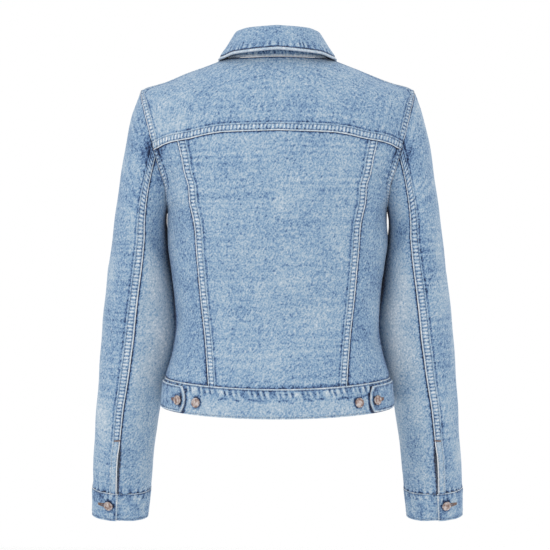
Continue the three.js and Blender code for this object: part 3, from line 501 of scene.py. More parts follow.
#   x1, z1, x2, z2, width, depth
FRONT_FOLDS = [
    (160, -250, 92, -262, 18, -3), (-160, -252, -96, -258, 18, -3), (158, -400, 96, -384, 16, -3),
    (-158, -396, -90, -380, 16, -3),
]
for word, side in SIDES:
    for part, length, step in (("front", 335, 3.2), ("front_yoke", 100, 2.6)):
        v = spread(length, step, start=part == "front_yoke")[:, None]
        low, high = (PANEL_FOOT, FRONT_YOKE(0.1)) if part == "front" else (FRONT_YOKE(0.1), PANEL_TOP)
        inner = PLACKET(low + (high - low) * v)
        columns = spread(FRONT_WIDTH, 3.4, end=True)[None]
        across = side * (inner + (1 - inner) * columns)
        line = FRONT_YOKE(across)
        rows = PANEL_FOOT + (line - PANEL_FOOT) * v if part == "front" else line + (PANEL_TOP - line) * v
        p = torso(-1, across, rows)
        run = length_along(p, 1)
        d_out = (1 - columns) * FRONT_WIDTH + 0 * rows
        d_seam = v * length if part == "front_yoke" else (1 - v) * length
        relief, wear_and_shade = (lapped if part == "front_yoke" else tucked)(d_seam, run, 8.0)
        armhole = soft_step(UNDERARM - 0.02, UNDERARM + 0.02, rows)
        out_relief, out_wear_and_shade = lapped(d_out, length_along(p, 0), 9.0 + side)
        relief = relief + out_relief * armhole
        folds = 1.0 * wobble(p * [1, 1, 1.2], 90, 42 + side) + crease(p[..., 0], p[..., 2], FRONT_FOLDS)
        folds = folds * soft_step(0, 20, d_out) * soft_step(0, 14, d_seam)
        folds = folds * soft_step(0, 14, columns * FRONT_WIDTH)
        tone = 0.51 + wear_and_shade + out_wear_and_shade * armhole + 0.04 * wobble(p, 70, 44 + side)
        strip = np.maximum(ladder(d_seam) * (part == "front_yoke"), ladder(d_out) * armhole)
        run = np.where((d_out < 12.5) & (d_seam > 13), length_along(p, 0)[:, -1:], run)
        outer, n = cloth(f"{part}_cloth_{word}", f"{part}_{word}", p, relief, tone, strip, run, folds)
        if part == "front_yoke":
            stitch("body", outer, n, EDGE_ROW, INNER_ROW)
        stitch("body", outer, n, *[(rows[:, i] > UNDERARM, i) for i in (EDGE_END, INNER_END)])

DOUBLED = 2.2
DOUBLE = (DOUBLED, "folded", denim("washed_denim_doubled", 0.02))
for name, lift in (("placket_over", 2.5), ("placket_under", 0.0)):
    v = spread(430, 2.6)[:, None]
    half = [1, 0.97, 0.9, 0.82, 0.7, 0.5, 0.25]
    columns = np.array(half + [0] + [-c for c in reversed(half)])[None]
    rows = PANEL_FOOT + (PANEL_TOP - PANEL_FOOT) * v + 0 * columns
    p = torso(-1, columns * PLACKET(rows) * 16 / PLACKET_HALF, rows)
    d = (1 - np.abs(columns)) * 16
    run = length_along(p, 0)
    ripple = rope(run, 11, 10.0) * np.exp(-d / 5)
    relief = 0.2 * ripple - 0.3 * hill(d, 2.9, 0.8)
    tone = 0.53 + 0.25 * hill(d, 0, 0.9) + 0.05 * ripple
    outer, n = cloth(f"{name}_cloth", name, p, relief, tone, 0, run, lift, *DOUBLE)
    if lift:
        stitch("body", outer, n, np.s_[:, EDGE_ROW], np.s_[:, EDGE_END])

# Waistband. A folded strip with one row of stitching along each edge. The panels are eased into it, so it
# ripples under its top edge, and both of its edges are worn white.


def round_body(turn, row):
    """Round the torso: 0 is the centre back, 1 the left side, 2 the centre front, and -1 and -2 the right."""
    turn, row = np.broadcast_arrays(np.asarray(turn, float), np.asarray(row, float))
    side = np.where(turn < 0, -1.0, 1.0)
    reach = np.abs(turn)
    front = torso(-1, side * (2 - np.maximum(reach, 1)), row)
    return np.where((reach <= 1)[..., None], torso(1, side * np.minimum(reach, 1), row), front)


BAND_HEIGHT = 42
end = float(PLACKET(0.5))
v = np.array([0, 0.5, 1.2, 2.2, 3.2, 4.5, 7, 11, 15, 18.5, 21.5, 23.5, 25, 26, 27.2, 29, 31, 33, 35, 36.8, 38.4,
              39.4, 40, 40.8, 41.5, BAND_HEIGHT])[:, None] / BAND_HEIGHT
turns = np.linspace(-2 - end, 2 + end, 720)[None]
rows = v * (BAND_TOP - 0.004) + 0 * turns
p = round_body(turns, rows)
over = np.where(turns < -1, 2.5 * soft_step(-34, -20, p[5:6, :, 0]), 0)
d_top, d_foot = (1 - v) * BAND_HEIGHT, v * BAND_HEIGHT
run = length_along(p[10:11], 1)
ripple = np.tanh(3.0 * rope(run + 0.3 * d_top, 10.0, 13.0)) * hill(d_top, 7.5, 4.5)
slant = rope(run + 1.6 * d_foot, 8.5, 14.0) * hill(d_foot, 5, 4)
wrinkle = hill(d_top, 16 + 1.8 * rope(run, 26, 15.0), 1.4) * soft_step(-0.5, 0.6, rope(run, 31, 16.0))
relief = 1.1 * ripple + 0.5 * slant - 0.4 * hill(d_top, 2.0, 0.9) - 0.35 * hill(d_foot, 2.2, 0.9)
relief = relief - 0.6 * wrinkle + 0.4 * wobble(p, 45, 51) * np.minimum(d_top, d_foot) / 21
# Its edges are worn white. Its puckers are paler on their worn ridges with painted shade in their hollows,
# painted shade fills the crease below them, and painted shade lies in the grooves of both stitch rows.
tone = 0.52 + 0.36 * hill(d_top, 0, 1.2) + 0.16 * hill(d_foot, 0, 0.9) + 0.26 * ripple + 0.12 * slant
tone = tone - 0.34 * wrinkle - 0.34 * hill(d_top, 2.6, 0.9) + 0.05 * wobble(p, 60, 52)
tone = tone - 0.10 * hill(d_foot, 2.4, 1.0) - 0.05 * hill(d_top, 8, 5) + 0.05 * soft_step(17, 22, d_top)
# A painted shadow darkens the cloth under and just round each button's head.
BUTTON_ROW, TAB_BUTTON, BAND_BUTTON, SMALL_BUTTON = 0.41, 138.5, 114, 7


def button_shadow(p, *seats):
    """How deep the painted shadow is round some small buttons."""
    near, far = SMALL_BUTTON + 0.6, SMALL_BUTTON + 2.4
    return sum(soft_step(far, near, np.linalg.norm(p - seat, axis=-1)) for seat in seats)


def across_at(x, row):
    """The share across the back at a distance from the centre line, on a row."""
    return float(cut_along(1, lambda z: x + 0 * z)(row))


def on_back(x, row):
    return torso(1, math.copysign(across_at(abs(x), row), x), row)


tone = tone - 0.45 * button_shadow(p, on_back(BAND_BUTTON, BUTTON_ROW), on_back(-BAND_BUTTON, BUTTON_ROW))
# A painted shadow of each tab falls on the band beside the tab's end, which is TAB_END from the centre line
# less a bulge.
TAB_END, TAB_BULGE = 135, 5
past_tab = np.abs(p[..., 0]) - (TAB_END - TAB_BULGE * (1 - (2 * v - 1) ** 2))
tone = tone - 0.5 * soft_step(-3.8, -1.6, past_tab) * (p[..., 1] > 0) * soft_step(0.95, 0.85, v)
outer, n = cloth("waistband_cloth", "waistband", p, relief, tone, 0, run + 0 * p[..., 0], 0.8 + over, *DOUBLE)
stitch("bands", outer, n, EDGE_ROW, EDGE_END)

# Waist tabs. A stitched tab lies on the band at each side, with a rounded end, and is buttoned to pull the
# waist in. Its edges are rubbed white.
TAB_WIDTH, TAB_LENGTH = 34, 42
for word, side in SIDES:
    v = np.array([0, 0.6, 1.4, 2.4, 4, 7, 11, 15, 19, 23, 27, 30, 31.6, 32.6, 33.4, TAB_WIDTH])[:, None]
    v = v / TAB_WIDTH
    u = spread(TAB_LENGTH, 1.3)[None]
    bulge = 1 - (2 * v - 1) ** 2
    end = np.array([[across_at(TAB_END - TAB_BULGE * b, 0.4)] for b in bulge[:, 0]])
    p = round_body(side * (1.02 + (end - 1.02) * u), 0.03 + 0.85 * v)
    d = np.minimum(np.minimum(v, 1 - v) * TAB_WIDTH, (1 - u) * TAB_LENGTH)
    relief = 0.3 * wobble(p, 14, 56 + side) - 0.3 * hill(d, 2.6, 0.8)
    # Its edges are worn white, painted shade lies in the groove of its stitch row, and a painted shadow rings
    # its button.
    tone = 0.42 + 0.42 * hill(d, 0, 1.2) - 0.26 * hill(d, 2.7, 0.9) + 0.12 * wobble(p, 12, 57)
    tone = tone - 0.3 * button_shadow(p, on_back(side * TAB_BUTTON, BUTTON_ROW))
    run = length_along(p, 1)
    outer, n = cloth(f"tab_cloth_{word}", f"tab_{word}", p, relief, tone, 0, run, 3.3, *DOUBLE,
                     on=["waistband_cloth"])
    end_column, top_row = u.shape[1] - 3, len(v) - 4
    path = [(EDGE_ROW, i) for i in range(end_column)] + [(j, end_column) for j in range(EDGE_ROW + 1, top_row)]
    path += [(top_row, i) for i in range(end_column - 1, -1, -1)]
    stitch("bands", outer, n, tuple(zip(*path)))

# Sleeves. Each is an upper and an under piece. The upper one is lapped over the under one down the back and
# twin stitched as far as a bar tack, below which a hemmed slit lets the hand through the cuff.
#   z, innerX, outerX, backY, frontY, lean, seam
SLEEVE = [
    (-264, 160.2, 241, 44, -90, 0, 106), (-300, 156.3, 245.5, 37, -95, 0.02, 100),
    (-340, 151.2, 250, 29, -95, 0.05, 92), (-395, 147.5, 256.5, 16, -92, 0.08, 86),
    (-440, 153.5, 261.5, 6, -93, 0.1, 85), (-475, 162.5, 264.5, -2, -95, 0.12, 85),
    (-510, 172.5, 267.5, -9, -97, 0.13, 85), (-567, 182.5, 271.5, -21, -107, 0.15, 85),
    (-618, 188, 275.5, -37, -117, 0.16, 85), (-636, 189.5, 276.3, -44, -119, 0.17, 85),
    (-679, 194.7, 277.5, -59, -121.5, 0.17, 86),
]
CUFF_TOP, CUFF_MIDDLE, ARMHOLE_SEAM, FRONT_SEAM = 9, 9.5, 86.0, 262.0
CUFF_BUTTON = ARMHOLE_SEAM - 17
RINGS = [curve(column) for column in zip(*SLEEVE)]


def ring(angle, row):
    z, inner, outer, back, front, lean, _ = [c(row) for c in RINGS]
    a = np.radians(angle)
    half_x, half_y = (outer - inner) / 2, (back - front) / 2
    y = half_y * np.sin(a)
    rise = 0.035 * half_x * np.cos(a) - lean * y
    return np.stack([inner + half_x * (1 + np.cos(a)), front + half_y + y, z + rise], -1)


def sleeve(angle, down):
    """The left sleeve: angle from the outside of the arm towards the back, down -1 at the armhole to 10."""
    angle, down = np.broadcast_arrays(np.asarray(angle, float), np.asarray(down, float))
    turn = np.mod(angle, 360)
    row = SHOULDER_TIP - (SHOULDER_TIP - UNDERARM) * np.where(turn <= 180, turn, 360 - turn) / 180
    start = np.where((turn <= 180)[..., None], torso(1, 1.0, row), torso(-1, 1.0, row))
    finish = ring(angle, 0 * down)
    reach = np.minimum(np.linalg.norm(finish - start, axis=-1), 130)[..., None]
    leave = np.stack([0.5 - 0.25 * (1 - np.cos(np.radians(angle))) / 2, 0 * down, -0.87 + 0 * down], -1)
    arrive = ring(angle, 0 * down + 0.05) - finish
    leave, arrive = [w / np.linalg.norm(w, axis=-1, keepdims=True) * reach for w in (leave, arrive)]
    t = np.clip(down + 1, 0, 1)[..., None]
    cap = (start * (2 * t**3 - 3 * t**2 + 1) + leave * (t**3 - 2 * t**2 + t)
           + finish * (3 * t**2 - 2 * t**3) + arrive * (t**3 - t**2))
    return np.where((down >= 0)[..., None], ring(angle, np.maximum(down, 0)), cap)


SEAM_ANGLE = curve([row[6] for row in SLEEVE])
# Folds by degrees round the sleeve and height at each end. The inside of the elbow is at about 290.
#   angle1, z1, angle2, z2, width, depth
SLEEVE_FOLDS = {
    1: [(262, -372, 345, -398, 11, -3.6), (200, -400, 300, -428, 12, -3.2), (250, -335, 330, -352, 12, -2.0),
        (60, -330, 118, -392, 15, -2.2), (15, -300, 62, -372, 18, 1.8), (112, -240, 150, -300, 12, -2.6),
        (285, -200, 330, -268, 15, -2.6), (90, -470, 150, -520, 14, -1.8), (20, -520, 75, -590, 16, 1.5)],
    -1: [(258, -380, 340, -392, 12, -3.2), (205, -408, 305, -420, 12, -3.4), (245, -340, 325, -362, 12, -2.2),
         (65, -345, 122, -400, 15, -2.0), (20, -310, 66, -380, 18, 2.0), (108, -236, 148, -290, 12, -2.8),
         (280, -205, 326, -262, 15, -2.4), (95, -455, 150, -500, 14, -2.0), (25, -500, 80, -575, 16, 1.3)],
}
SLIT_TOP, SLIT_WIDEST, SLIT_FOOT, SLEEVE_WIDTH = -562, -590, -636, 150
for word, side in SIDES:
    down = np.concatenate([np.linspace(-1, 0, 84)[:-1], np.linspace(0, CUFF_TOP - 0.012, 165)])[:, None]
    seam = SEAM_ANGLE(np.maximum(down, 0))
    seam = np.where(down < 0, ARMHOLE_SEAM + (SEAM_ANGLE(0) - ARMHOLE_SEAM) * (1 - down**2), seam)
    per_degree = np.linalg.norm(sleeve(seam + 1, down) - sleeve(seam - 1, down), axis=-1) / 2
    height = sleeve(seam, down)[..., 2]
    slit_width = 3.4 - 1.6 * soft_step(SLIT_WIDEST, SLIT_FOOT, height)
    gap = (0.3 + (slit_width - 0.3) * soft_step(SLIT_TOP, SLIT_WIDEST, height)) / 2 / per_degree
    for part in ("upper", "under"):
        low, high = (FRONT_SEAM - 360, seam - gap) if part == "upper" else (seam + gap, FRONT_SEAM)
        u = spread(SLEEVE_WIDTH, 3.2, part == "under", part == "upper")[None]
        angle = low + (high - low) * u
        p = sleeve(angle, down)
        p[..., 0] *= side
        d = (1 - u if part == "upper" else u) * SLEEVE_WIDTH + 0 * down
        column = length_along(p, 0)
        run = column[:, -1:] if part == "upper" else column[:, :1]
        slit = soft_step(SLIT_TOP + 6, SLIT_TOP - 4, p[..., 2])
        relief, wear_and_shade = (lapped if part == "upper" else tucked)(d, run, 15.0 + side)
        to_armhole, to_cuff = column, column[-1:] - column
        arm_relief, arm_wear_and_shade = tucked(to_armhole, length_along(p, 1), 17.0 + side)
        clear = soft_step(0, 16, d) * soft_step(0, 10, to_cuff)
        gather = np.tanh(1.6 * rope(length_along(p, 1), 8.5, 19.0 + side)) * np.exp(-to_cuff / 7)
        gather = gather * soft_step(0, 8, d)
        relief = relief + arm_relief + 0.9 * gather
        folds = 1.0 * wobble(p * [1, 1, 0.8], 75, 62 + side)
        for a1, z1, a2, z2, width, depth in SLEEVE_FOLDS[side]:
            middle = (a1 + a2) / 2
            near = angle + 360 * np.round((middle - angle) / 360)
            x, x1, x2 = [np.radians(a) * 48 for a in (near, a1, a2)]
            folds = folds + crease(x, p[..., 2], [(x1, z1, x2, z2, width, depth)])
        elbow = hill(p[..., 2], -395, 95) * hill(np.mod(angle + 180, 360) - 180, 122, 34)
        turn = np.mod(angle, 360)
        streaks = wobble(p * [1, 1, 0.35], 24, 66 + side)
        # A painted shadow darkens the sleeve along the cuff's top edge, and its folds carry painted shade in
        # their troughs and painted light on their ridges.
        tone = 0.49 + wear_and_shade + arm_wear_and_shade + 0.26 * elbow + 0.34 * gather - 0.35 * hill(to_cuff, 0, 2.0)
        tone = tone + (0.04 * wobble(p, 60, 64 + side) + 0.045 * folds + 0.035 * streaks) * clear
        tone = tone - 0.05 * np.exp(-to_cuff / 20)
        tone = tone + 0.04 * soft_step(-380, -520, p[..., 2])
        # Painted shade fills the hollow where the yoke's seam meets the armhole.
        tone = tone - 0.25 * hill(from_corner(p, side), 9, 12)
        # The side of the arm that is turned to the body is darkened with painted shade, where it hangs close to
        # the body.
        body_side_shade = soft_step(148, 176, turn) * soft_step(230, 190, turn) * soft_step(-490, -440, p[..., 2])
        tone = tone - 0.45 * body_side_shade
        strip = 0 * d
        if part == "upper":
            # Down the slit the edge is worn whiter, and most of the seam's painted groove shade and painted
            # shadow is lifted out.
            hem = 0.3 * hill(d, 0, 1.5) + 0.2 * hill(d, 2.5, 0.8) + 0.24 * hill(d, 9.8, 0.9)
            hem = hem + 0.2 * hill(d, 13.2, 1.2)
            tone, strip = tone + slit * hem, ladder(d) * (1 - 0.9 * slit)
        outer, n = cloth(f"sleeve_{part}_cloth_{word}", f"sleeve_{part}_{word}", p, relief, tone, strip,
                         run + 0 * d, folds * clear, around=p.mean(1, keepdims=True))
        if part == "upper":
            stitch("sleeves", outer, n, np.s_[:, EDGE_END], np.s_[:, INNER_END])
        else:
            stitch("sleeves", outer, n, (slit[:, EDGE_ROW] > 0.5, EDGE_ROW))

# Cuffs. A folded band with one row of stitching round each edge. Its outer end laps over the other at the
# back and is buttoned there, and the end's folded edge is worn white.
CUFF_HEIGHT = 40
for word, side in SIDES:
    v = np.array([0, 0.5, 1.2, 2.2, 3.4, 6, 10, 15, 20, 25, 30, 34, 36, 37.6, 38.6, 39.4, CUFF_HEIGHT])[:, None]
    v = v / CUFF_HEIGHT
    angle = ARMHOLE_SEAM - np.concatenate([spread(12, 0.6) * 12, np.linspace(12, 384, 150)[1:]])[None]
    p = sleeve(angle, CUFF_TOP + v)
    p[..., 0] *= side
    under = 2.5 * soft_step(ARMHOLE_SEAM - 320, ARMHOLE_SEAM - 352, angle)
    d_top, d_foot, d_end = v * CUFF_HEIGHT, (1 - v) * CUFF_HEIGHT, (ARMHOLE_SEAM - angle) * 0.82
    run = length_along(p, 1)
    ripple = np.tanh(1.8 * rope(run, 9, 23.0 + side)) * hill(d_top, 7, 4.5)
    relief = 0.8 * ripple + 0.4 * rope(run + d_foot, 8, 24.0) * hill(d_foot, 5, 4)
    relief = relief + 0.4 * wobble(p, 30, 72 + side) * np.minimum(d_top, d_foot) / 20
    relief = relief - 0.3 * (hill(d_top, 2.2, 0.8) + hill(d_foot, 2.2, 0.8))
    # Its edges and its end's fold are worn white, painted shade lies in the grooves of its stitch rows, and a
    # painted shadow rings its button.
    tone = 0.46 + 0.36 * hill(d_top, 0, 1.2) + 0.12 * hill(d_foot, 0, 0.9) + 0.45 * hill(d_end, 0, 1.6)
    tone = tone + 0.22 * ripple + 0.12 * wobble(p, 18, 74 + side) - 0.34 * hill(d_top, 2.6, 0.9)
    tone = tone - 0.2 * hill(d_end, 4, 1.2)
    seat = sleeve(CUFF_BUTTON, CUFF_MIDDLE) * [side, 1, 1]
    tone = tone - 0.1 * hill(d_foot, 2.4, 1.0) - 0.4 * button_shadow(p, seat)
    outer, n = cloth(f"cuff_cloth_{word}", f"cuff_{word}", p, relief, tone, 0, run, 0.8 - under, *DOUBLE,
                     around=p.mean(1, keepdims=True))
    stitch("bands", outer, n, EDGE_ROW, EDGE_END, np.s_[3:-3, 4])

# Collar. A stand rises from the neck seam and a fall turns down over it, short enough at the back to show
# the stand's stitched seam. The fall's edge is stitched 5 mm in, and the wash has roped it.
#   turn, foldOut, foldUp, edgeOut, edgeUp, edgeAside
COLLAR = [
    (0, -7, 46.5, 17, 7.5, 0), (0.5, -10, 43.5, 15.5, 2.5, 0), (0.75, -12, 40, 14, -2.5, 0),
    (1, -13.5, 35, 12, -3, 0), (1.35, -7, 27, 23, -9, 4), (1.6, 0, 20, 36, -20, 14),
    (1.75, 2, 16, 45, -35, 28), (1.84, 3, 14, 51, -45, 40),
]
FOLD_ROLL, COLLAR_END = 0.16, 1.84
COLLAR_AT = [look_up([(row[0], row[i]) for row in COLLAR]) for i in range(1, 6)]


def collar(turn, along):
    """A point round the neck: along is 0 at the neck seam, 1 at the fold and 2 at the free edge."""
    turn, along = np.broadcast_arrays(np.asarray(turn, float), np.asarray(along, float))
    seam = round_body(turn, 0 * turn + NECK)
    fold_out, fold_up, edge_out, edge_up, aside = [c(np.abs(turn))[..., None] for c in COLLAR_AT]
    out = seam * [1, 1, 0]
    out /= np.linalg.norm(out, axis=-1, keepdims=True)
    fold = seam + out * fold_out + fold_up * [0, 0, 1]
    edge = seam + out * edge_out + edge_up * [0, 0, 1] + aside * np.sign(turn)[..., None] * [1, 0, 0]

    def straight(t):
        t = t[..., None]
        return np.where(t <= 1, seam + (fold - seam) * t, fold + (edge - fold) * (t - 1))
    t = np.clip((along - 1 + FOLD_ROLL) / (2 * FOLD_ROLL), 0, 1)[..., None]
    rolled = straight(0 * along + 1 - FOLD_ROLL) * (1 - t) ** 2 + fold * 2 * t * (1 - t)
    rolled = rolled + straight(0 * along + 1 + FOLD_ROLL) * t**2
    return np.where((np.abs(along - 1) >= FOLD_ROLL)[..., None], straight(along), rolled)


turns = (spread(470, 1.4, True, True) * 2 * COLLAR_END - COLLAR_END)[None]
along = 0.01 + 0.79 * np.array([0, 0.02, 0.05, 0.08, 0.12, 0.18, 0.25, 0.35, 0.5, 0.65, 0.8, 0.92, 1])[:, None]
p = collar(turns, along)
run = length_along(p, 1)
d = length_along(p, 0)
ripple = rope(run, 8, 25.0) * hill(d, 6, 4)
relief = 0.4 * ripple - 0.3 * hill(d, 2, 0.9)
tone = 0.36 + 0.62 * hill(d, 1.0, 1.2) + 0.16 * ripple - 0.1 * soft_step(6, 14, d)
tone = tone + 0.2 * hill(p[..., 0], -4, 2)
outer, n = cloth("collar_stand_cloth", "collar_stand", p, relief, tone, 0, run, 0, *DOUBLE)
stitch("bands", outer, n, EDGE_ROW)

from_edge = np.array([38, 32, 27, 23, 20, 17.5, 15, 13, 11, 9, 7.4, 6.2, 5.3, 4.6, 4, 3.2, 2.2, 1.2, 0.6, 0])
past_fold = 2 - 0.84 * from_edge / 44
along = np.concatenate([np.linspace(0.807, 1.16, 16), past_fold])[:, None]
p = collar(turns, along)
run = length_along(p[-8:-7], 1)
d = length_along(p[::-1], 0)[::-1]
ripple = np.tanh(1.8 * rope(run, 8.4, 26.0)) * soft_step(4, 6, d)
ripple = ripple * soft_step(20, 9, d + 4 * rope(run, 23, 27.0))
relief = 0.9 * ripple - 0.6 * hill(d, 4.6, 1.1) + 0.3 * wobble(p, 40, 81) * soft_step(0, 20, d)
# Its edge is worn white, and painted shade lies in the groove of its stitch row.
tone = 0.46 + 0.34 * soft_step(4.2, 2.6, d) + 0.24 * ripple - 0.52 * hill(d, 4.8, 1.2) - 0.07 * hill(d, 13, 7)
tone = tone + 0.05 * wobble(p, 50, 82) - 0.12 * hill(d, 1.6, 0.5)
outer, n = cloth("collar_fall_cloth", "collar_fall", p, relief, tone, 0, run + 0 * d, DOUBLED, *DOUBLE)
j = int(np.argmin(np.abs(d[:, d.shape[1] // 2] - 4.6)))
stitch("bands", outer, n, np.s_[j, 10:-10])

# Topstitching. Grey-tan cotton-wrapped polyester thread about 0.6 mm thick, sewn at 3.3 mm a stitch. Each
# row is a path, and a node tree lays a short rounded thread on it at every stitch.
THREAD, tree, shader = new_material("topstitch_thread", Roughness=0.8)
place = node(tree, "ShaderNodeTexCoord").outputs["Object"]
fade = node(tree, "ShaderNodeTexNoise", place, Scale=120.0, Detail=2.0)
ramp = node(tree, "ShaderNodeValToRGB", fade, stops=((0.35, "#5a5f70"), (0.65, "#8f8a8c")))
tree.links.new(ramp.outputs[0], shader.inputs["Base Color"])

SEW = bpy.data.node_groups.new("topstitch", "GeometryNodeTree")
SEW.interface.new_socket("Geometry", in_out="INPUT", socket_type="NodeSocketGeometry")
for label, amount in (("Pitch", 0.0033), ("Length", 0.0027), ("Width", 0.0006), ("Height", 0.0005)):
    SEW.interface.new_socket(label, in_out="INPUT", socket_type="NodeSocketFloat").default_value = amount
SEW.interface.new_socket("Thread", in_out="INPUT", socket_type="NodeSocketMaterial")
SEW.interface.new_socket("Geometry", in_out="OUTPUT", socket_type="NodeSocketGeometry")
given = node(SEW, "NodeGroupInput").outputs
path = node(SEW, "GeometryNodeMeshToCurve", Mesh=given["Geometry"])
spaced = node(SEW, "GeometryNodeResampleCurve", mode="LENGTH", Curve=path, Length=given["Pitch"])
ball = node(SEW, "GeometryNodeMeshUVSphere", Segments=6, Rings=4, Radius=0.5)
along_row = node(SEW, "GeometryNodeInputTangent")
outward = node(SEW, "GeometryNodeInputNamedAttribute", data_type="FLOAT_VECTOR", Name="out")
laid = node(SEW, "FunctionNodeAlignRotationToVector", Vector=along_row, axis="X")
laid = node(SEW, "FunctionNodeAlignRotationToVector", Rotation=laid, Vector=outward, axis="Z", pivot_axis="X")
size = node(SEW, "ShaderNodeCombineXYZ", given["Length"], given["Width"], given["Height"])
sewn = node(SEW, "GeometryNodeInstanceOnPoints", Points=spaced, Instance=ball, Rotation=laid, Scale=size)
real = node(SEW, "GeometryNodeRealizeInstances", sewn)
done = node(SEW, "GeometryNodeSetMaterial", Geometry=real, Material=given["Thread"])
node(SEW, "NodeGroupOutput", done)


def sew(name, rows, slot, thread=THREAD, **sizes):
    """Lays stitches along rows of points in mm, and makes them one plain mesh."""
    edges, count = [], 0
    for points, _ in rows:
        edges += [(count + i, count + i + 1) for i in range(len(points) - 1)]
        count += len(points)
    guide_mesh = bpy.data.meshes.new(name + "_guide")
    guide_mesh.from_pydata((np.concatenate([points for points, _ in rows]) / 1000).tolist(), edges, [])
    out = np.concatenate([n for _, n in rows]).astype(np.float32).ravel()
    guide_mesh.attributes.new("out", "FLOAT_VECTOR", "POINT").data.foreach_set("vector", out)
    guide = placed(name + "_guide", guide_mesh)
    modifier = guide.modifiers.new("sew", "NODES")
    modifier.node_group = SEW
    sockets = {item.name: item.identifier for item in SEW.interface.items_tree if item.in_out == "INPUT"}
    modifier[sockets["Thread"]] = thread
    for label, amount in sizes.items():
        modifier[sockets[label]] = amount
    mesh = bpy.data.meshes.new_from_object(guide.evaluated_get(bpy.context.evaluated_depsgraph_get()))
    mesh.name = name
    bpy.data.objects.remove(guide)
    mesh.materials.clear()
    mesh.materials.append(thread)
    mesh.shade_smooth()
    piece = placed(name, mesh)
    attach(piece, "root")
    return piece


for group, slot in (("body", "denim"), ("sleeves", "denim"), ("bands", "denim_doubled")):
    sew(f"topstitching_{group}", STITCHES[group], slot)

# Bar tacks and buttonholes. A close zigzag of rust-brown thread closes the top of each sleeve's slit, and
# edges the keyhole that each button goes through. The thread is drawn as a fine cord, 0.5 mm thick.
RUST = new_material("rust_brown_thread", Base_Color=linear("#86695d"), Roughness=0.8)[0]


def spot(place, facing=1):
    """A spot of a surface that is given at small steps across and up: where it is, the steps, the way out."""
    here = place(0, 0)
    across, up = place(1, 0) - here, place(0, 1) - here
    out = np.cross(across, up)
    return here, across, up, out * np.sign(out[1] * facing) / np.linalg.norm(out)


def on_surface(place, lift, points):
    """Points given in mm across and up, laid on a surface of the back, with the way out of the cloth."""
    _, across, up, out = spot(place)
    laid = [place(x / np.linalg.norm(across), z / np.linalg.norm(up)) + out * lift for x, z in points]
    return np.array(laid), np.repeat([out], len(laid), 0)


def zigzag(path, width, pitch):
    """A zigzag along a path of points in mm across and up."""
    path = np.array(path, float)
    walked = length_along(path, 0)
    count = int(walked[-1] / pitch)
    places = np.linspace(0, walked[-1], count)
    x, z = np.interp(places, walked, path[:, 0]), np.interp(places, walked, path[:, 1])
    way = np.stack([np.gradient(x), np.gradient(z)], -1)
    way /= np.linalg.norm(way, axis=-1, keepdims=True)
    side = np.where(np.arange(count) % 2, 0.5, -0.5) * width
    return np.stack([x - way[:, 1] * side, z + way[:, 0] * side], -1)


def keyhole(start, length):
    """The edge of a keyhole buttonhole in mm: its round eye is at the start, beside the button's middle."""
    eye = [(start - 2.4 * math.cos(a), 2.4 * math.sin(a)) for a in np.radians(np.arange(120, -121, -20))]
    return [(start + length, 0.6)] + eye + [(start + length, -0.6)]


rust = []
for word, side in SIDES:
    start = side * across_at(TAB_BUTTON, BUTTON_ROW)
    place = lambda a, b: torso(1, start + side * 0.02 * a, BUTTON_ROW + 0.02 * b)
    rust.append(on_surface(place, 3.6, zigzag(keyhole(4, 11), 2.4, 0.55)))
    place = lambda a, b: sleeve(CUFF_BUTTON - a, CUFF_MIDDLE - 0.02 * b) * [side, 1, 1]
    rust.append(on_surface(place, 1.2, zigzag(keyhole(5, 15), 2.4, 0.55)))
    top = float(root(lambda d: SLIT_TOP - sleeve(ARMHOLE_SEAM, d)[..., 2], np.array(0.0), np.array(9.0)))
    place = lambda a, b: sleeve(ARMHOLE_SEAM - 1 - a, top - 0.02 * b) * [side, 1, 1]
    rust.append(on_surface(place, 1.4, zigzag([(0, 1.2), (9, 0)], 2.6, 0.5)))
sew("tacks_and_buttonholes", rust, "denim_doubled", RUST, Pitch=0.0005, Length=0.0008, Width=0.0005,
    Height=0.0004)

# Buttons. Shank buttons of copper-plated brass, 17 mm down the front and 14 mm on the tabs, band and cuffs:
# a domed head with a rolled rim on a post that is riveted through the cloth. The plating is rubbed silver.
METAL, tree, shader = new_material("worn_copper_plating", Metallic=1.0)
place = node(tree, "ShaderNodeTexCoord").outputs["Object"]
rubbed = node(tree, "ShaderNodeTexNoise", place, Scale=260.0, Detail=4.0)
ramp = node(tree, "ShaderNodeValToRGB", rubbed, stops=((0.38, "#8b736b"), (0.62, "#cfc6c3")))
rough = node(tree, "ShaderNodeMapRange", rubbed, 0.3, 0.7, 0.28, 0.5)
dents = node(tree, "ShaderNodeBump", Height=rubbed, Strength=0.2, Distance=0.0004)
for made, label in ((ramp, "Base Color"), (rough, "Roughness"), (dents, "Normal")):
    tree.links.new(made.outputs[0], shader.inputs[label])

#   share of the radius, height in mm
BUTTON_OUTLINE = [
    (0, 0.3), (0.34, 0.3), (0.34, 1.3), (0.6, 1.3), (0.93, 1.45), (0.99, 1.7), (1.0, 2.1), (0.98, 2.6),
    (0.93, 2.95), (0.86, 3.0), (0.8, 2.85), (0.76, 2.6), (0.7, 2.62), (0.5, 2.85), (0.25, 3.0), (0, 3.05),
]


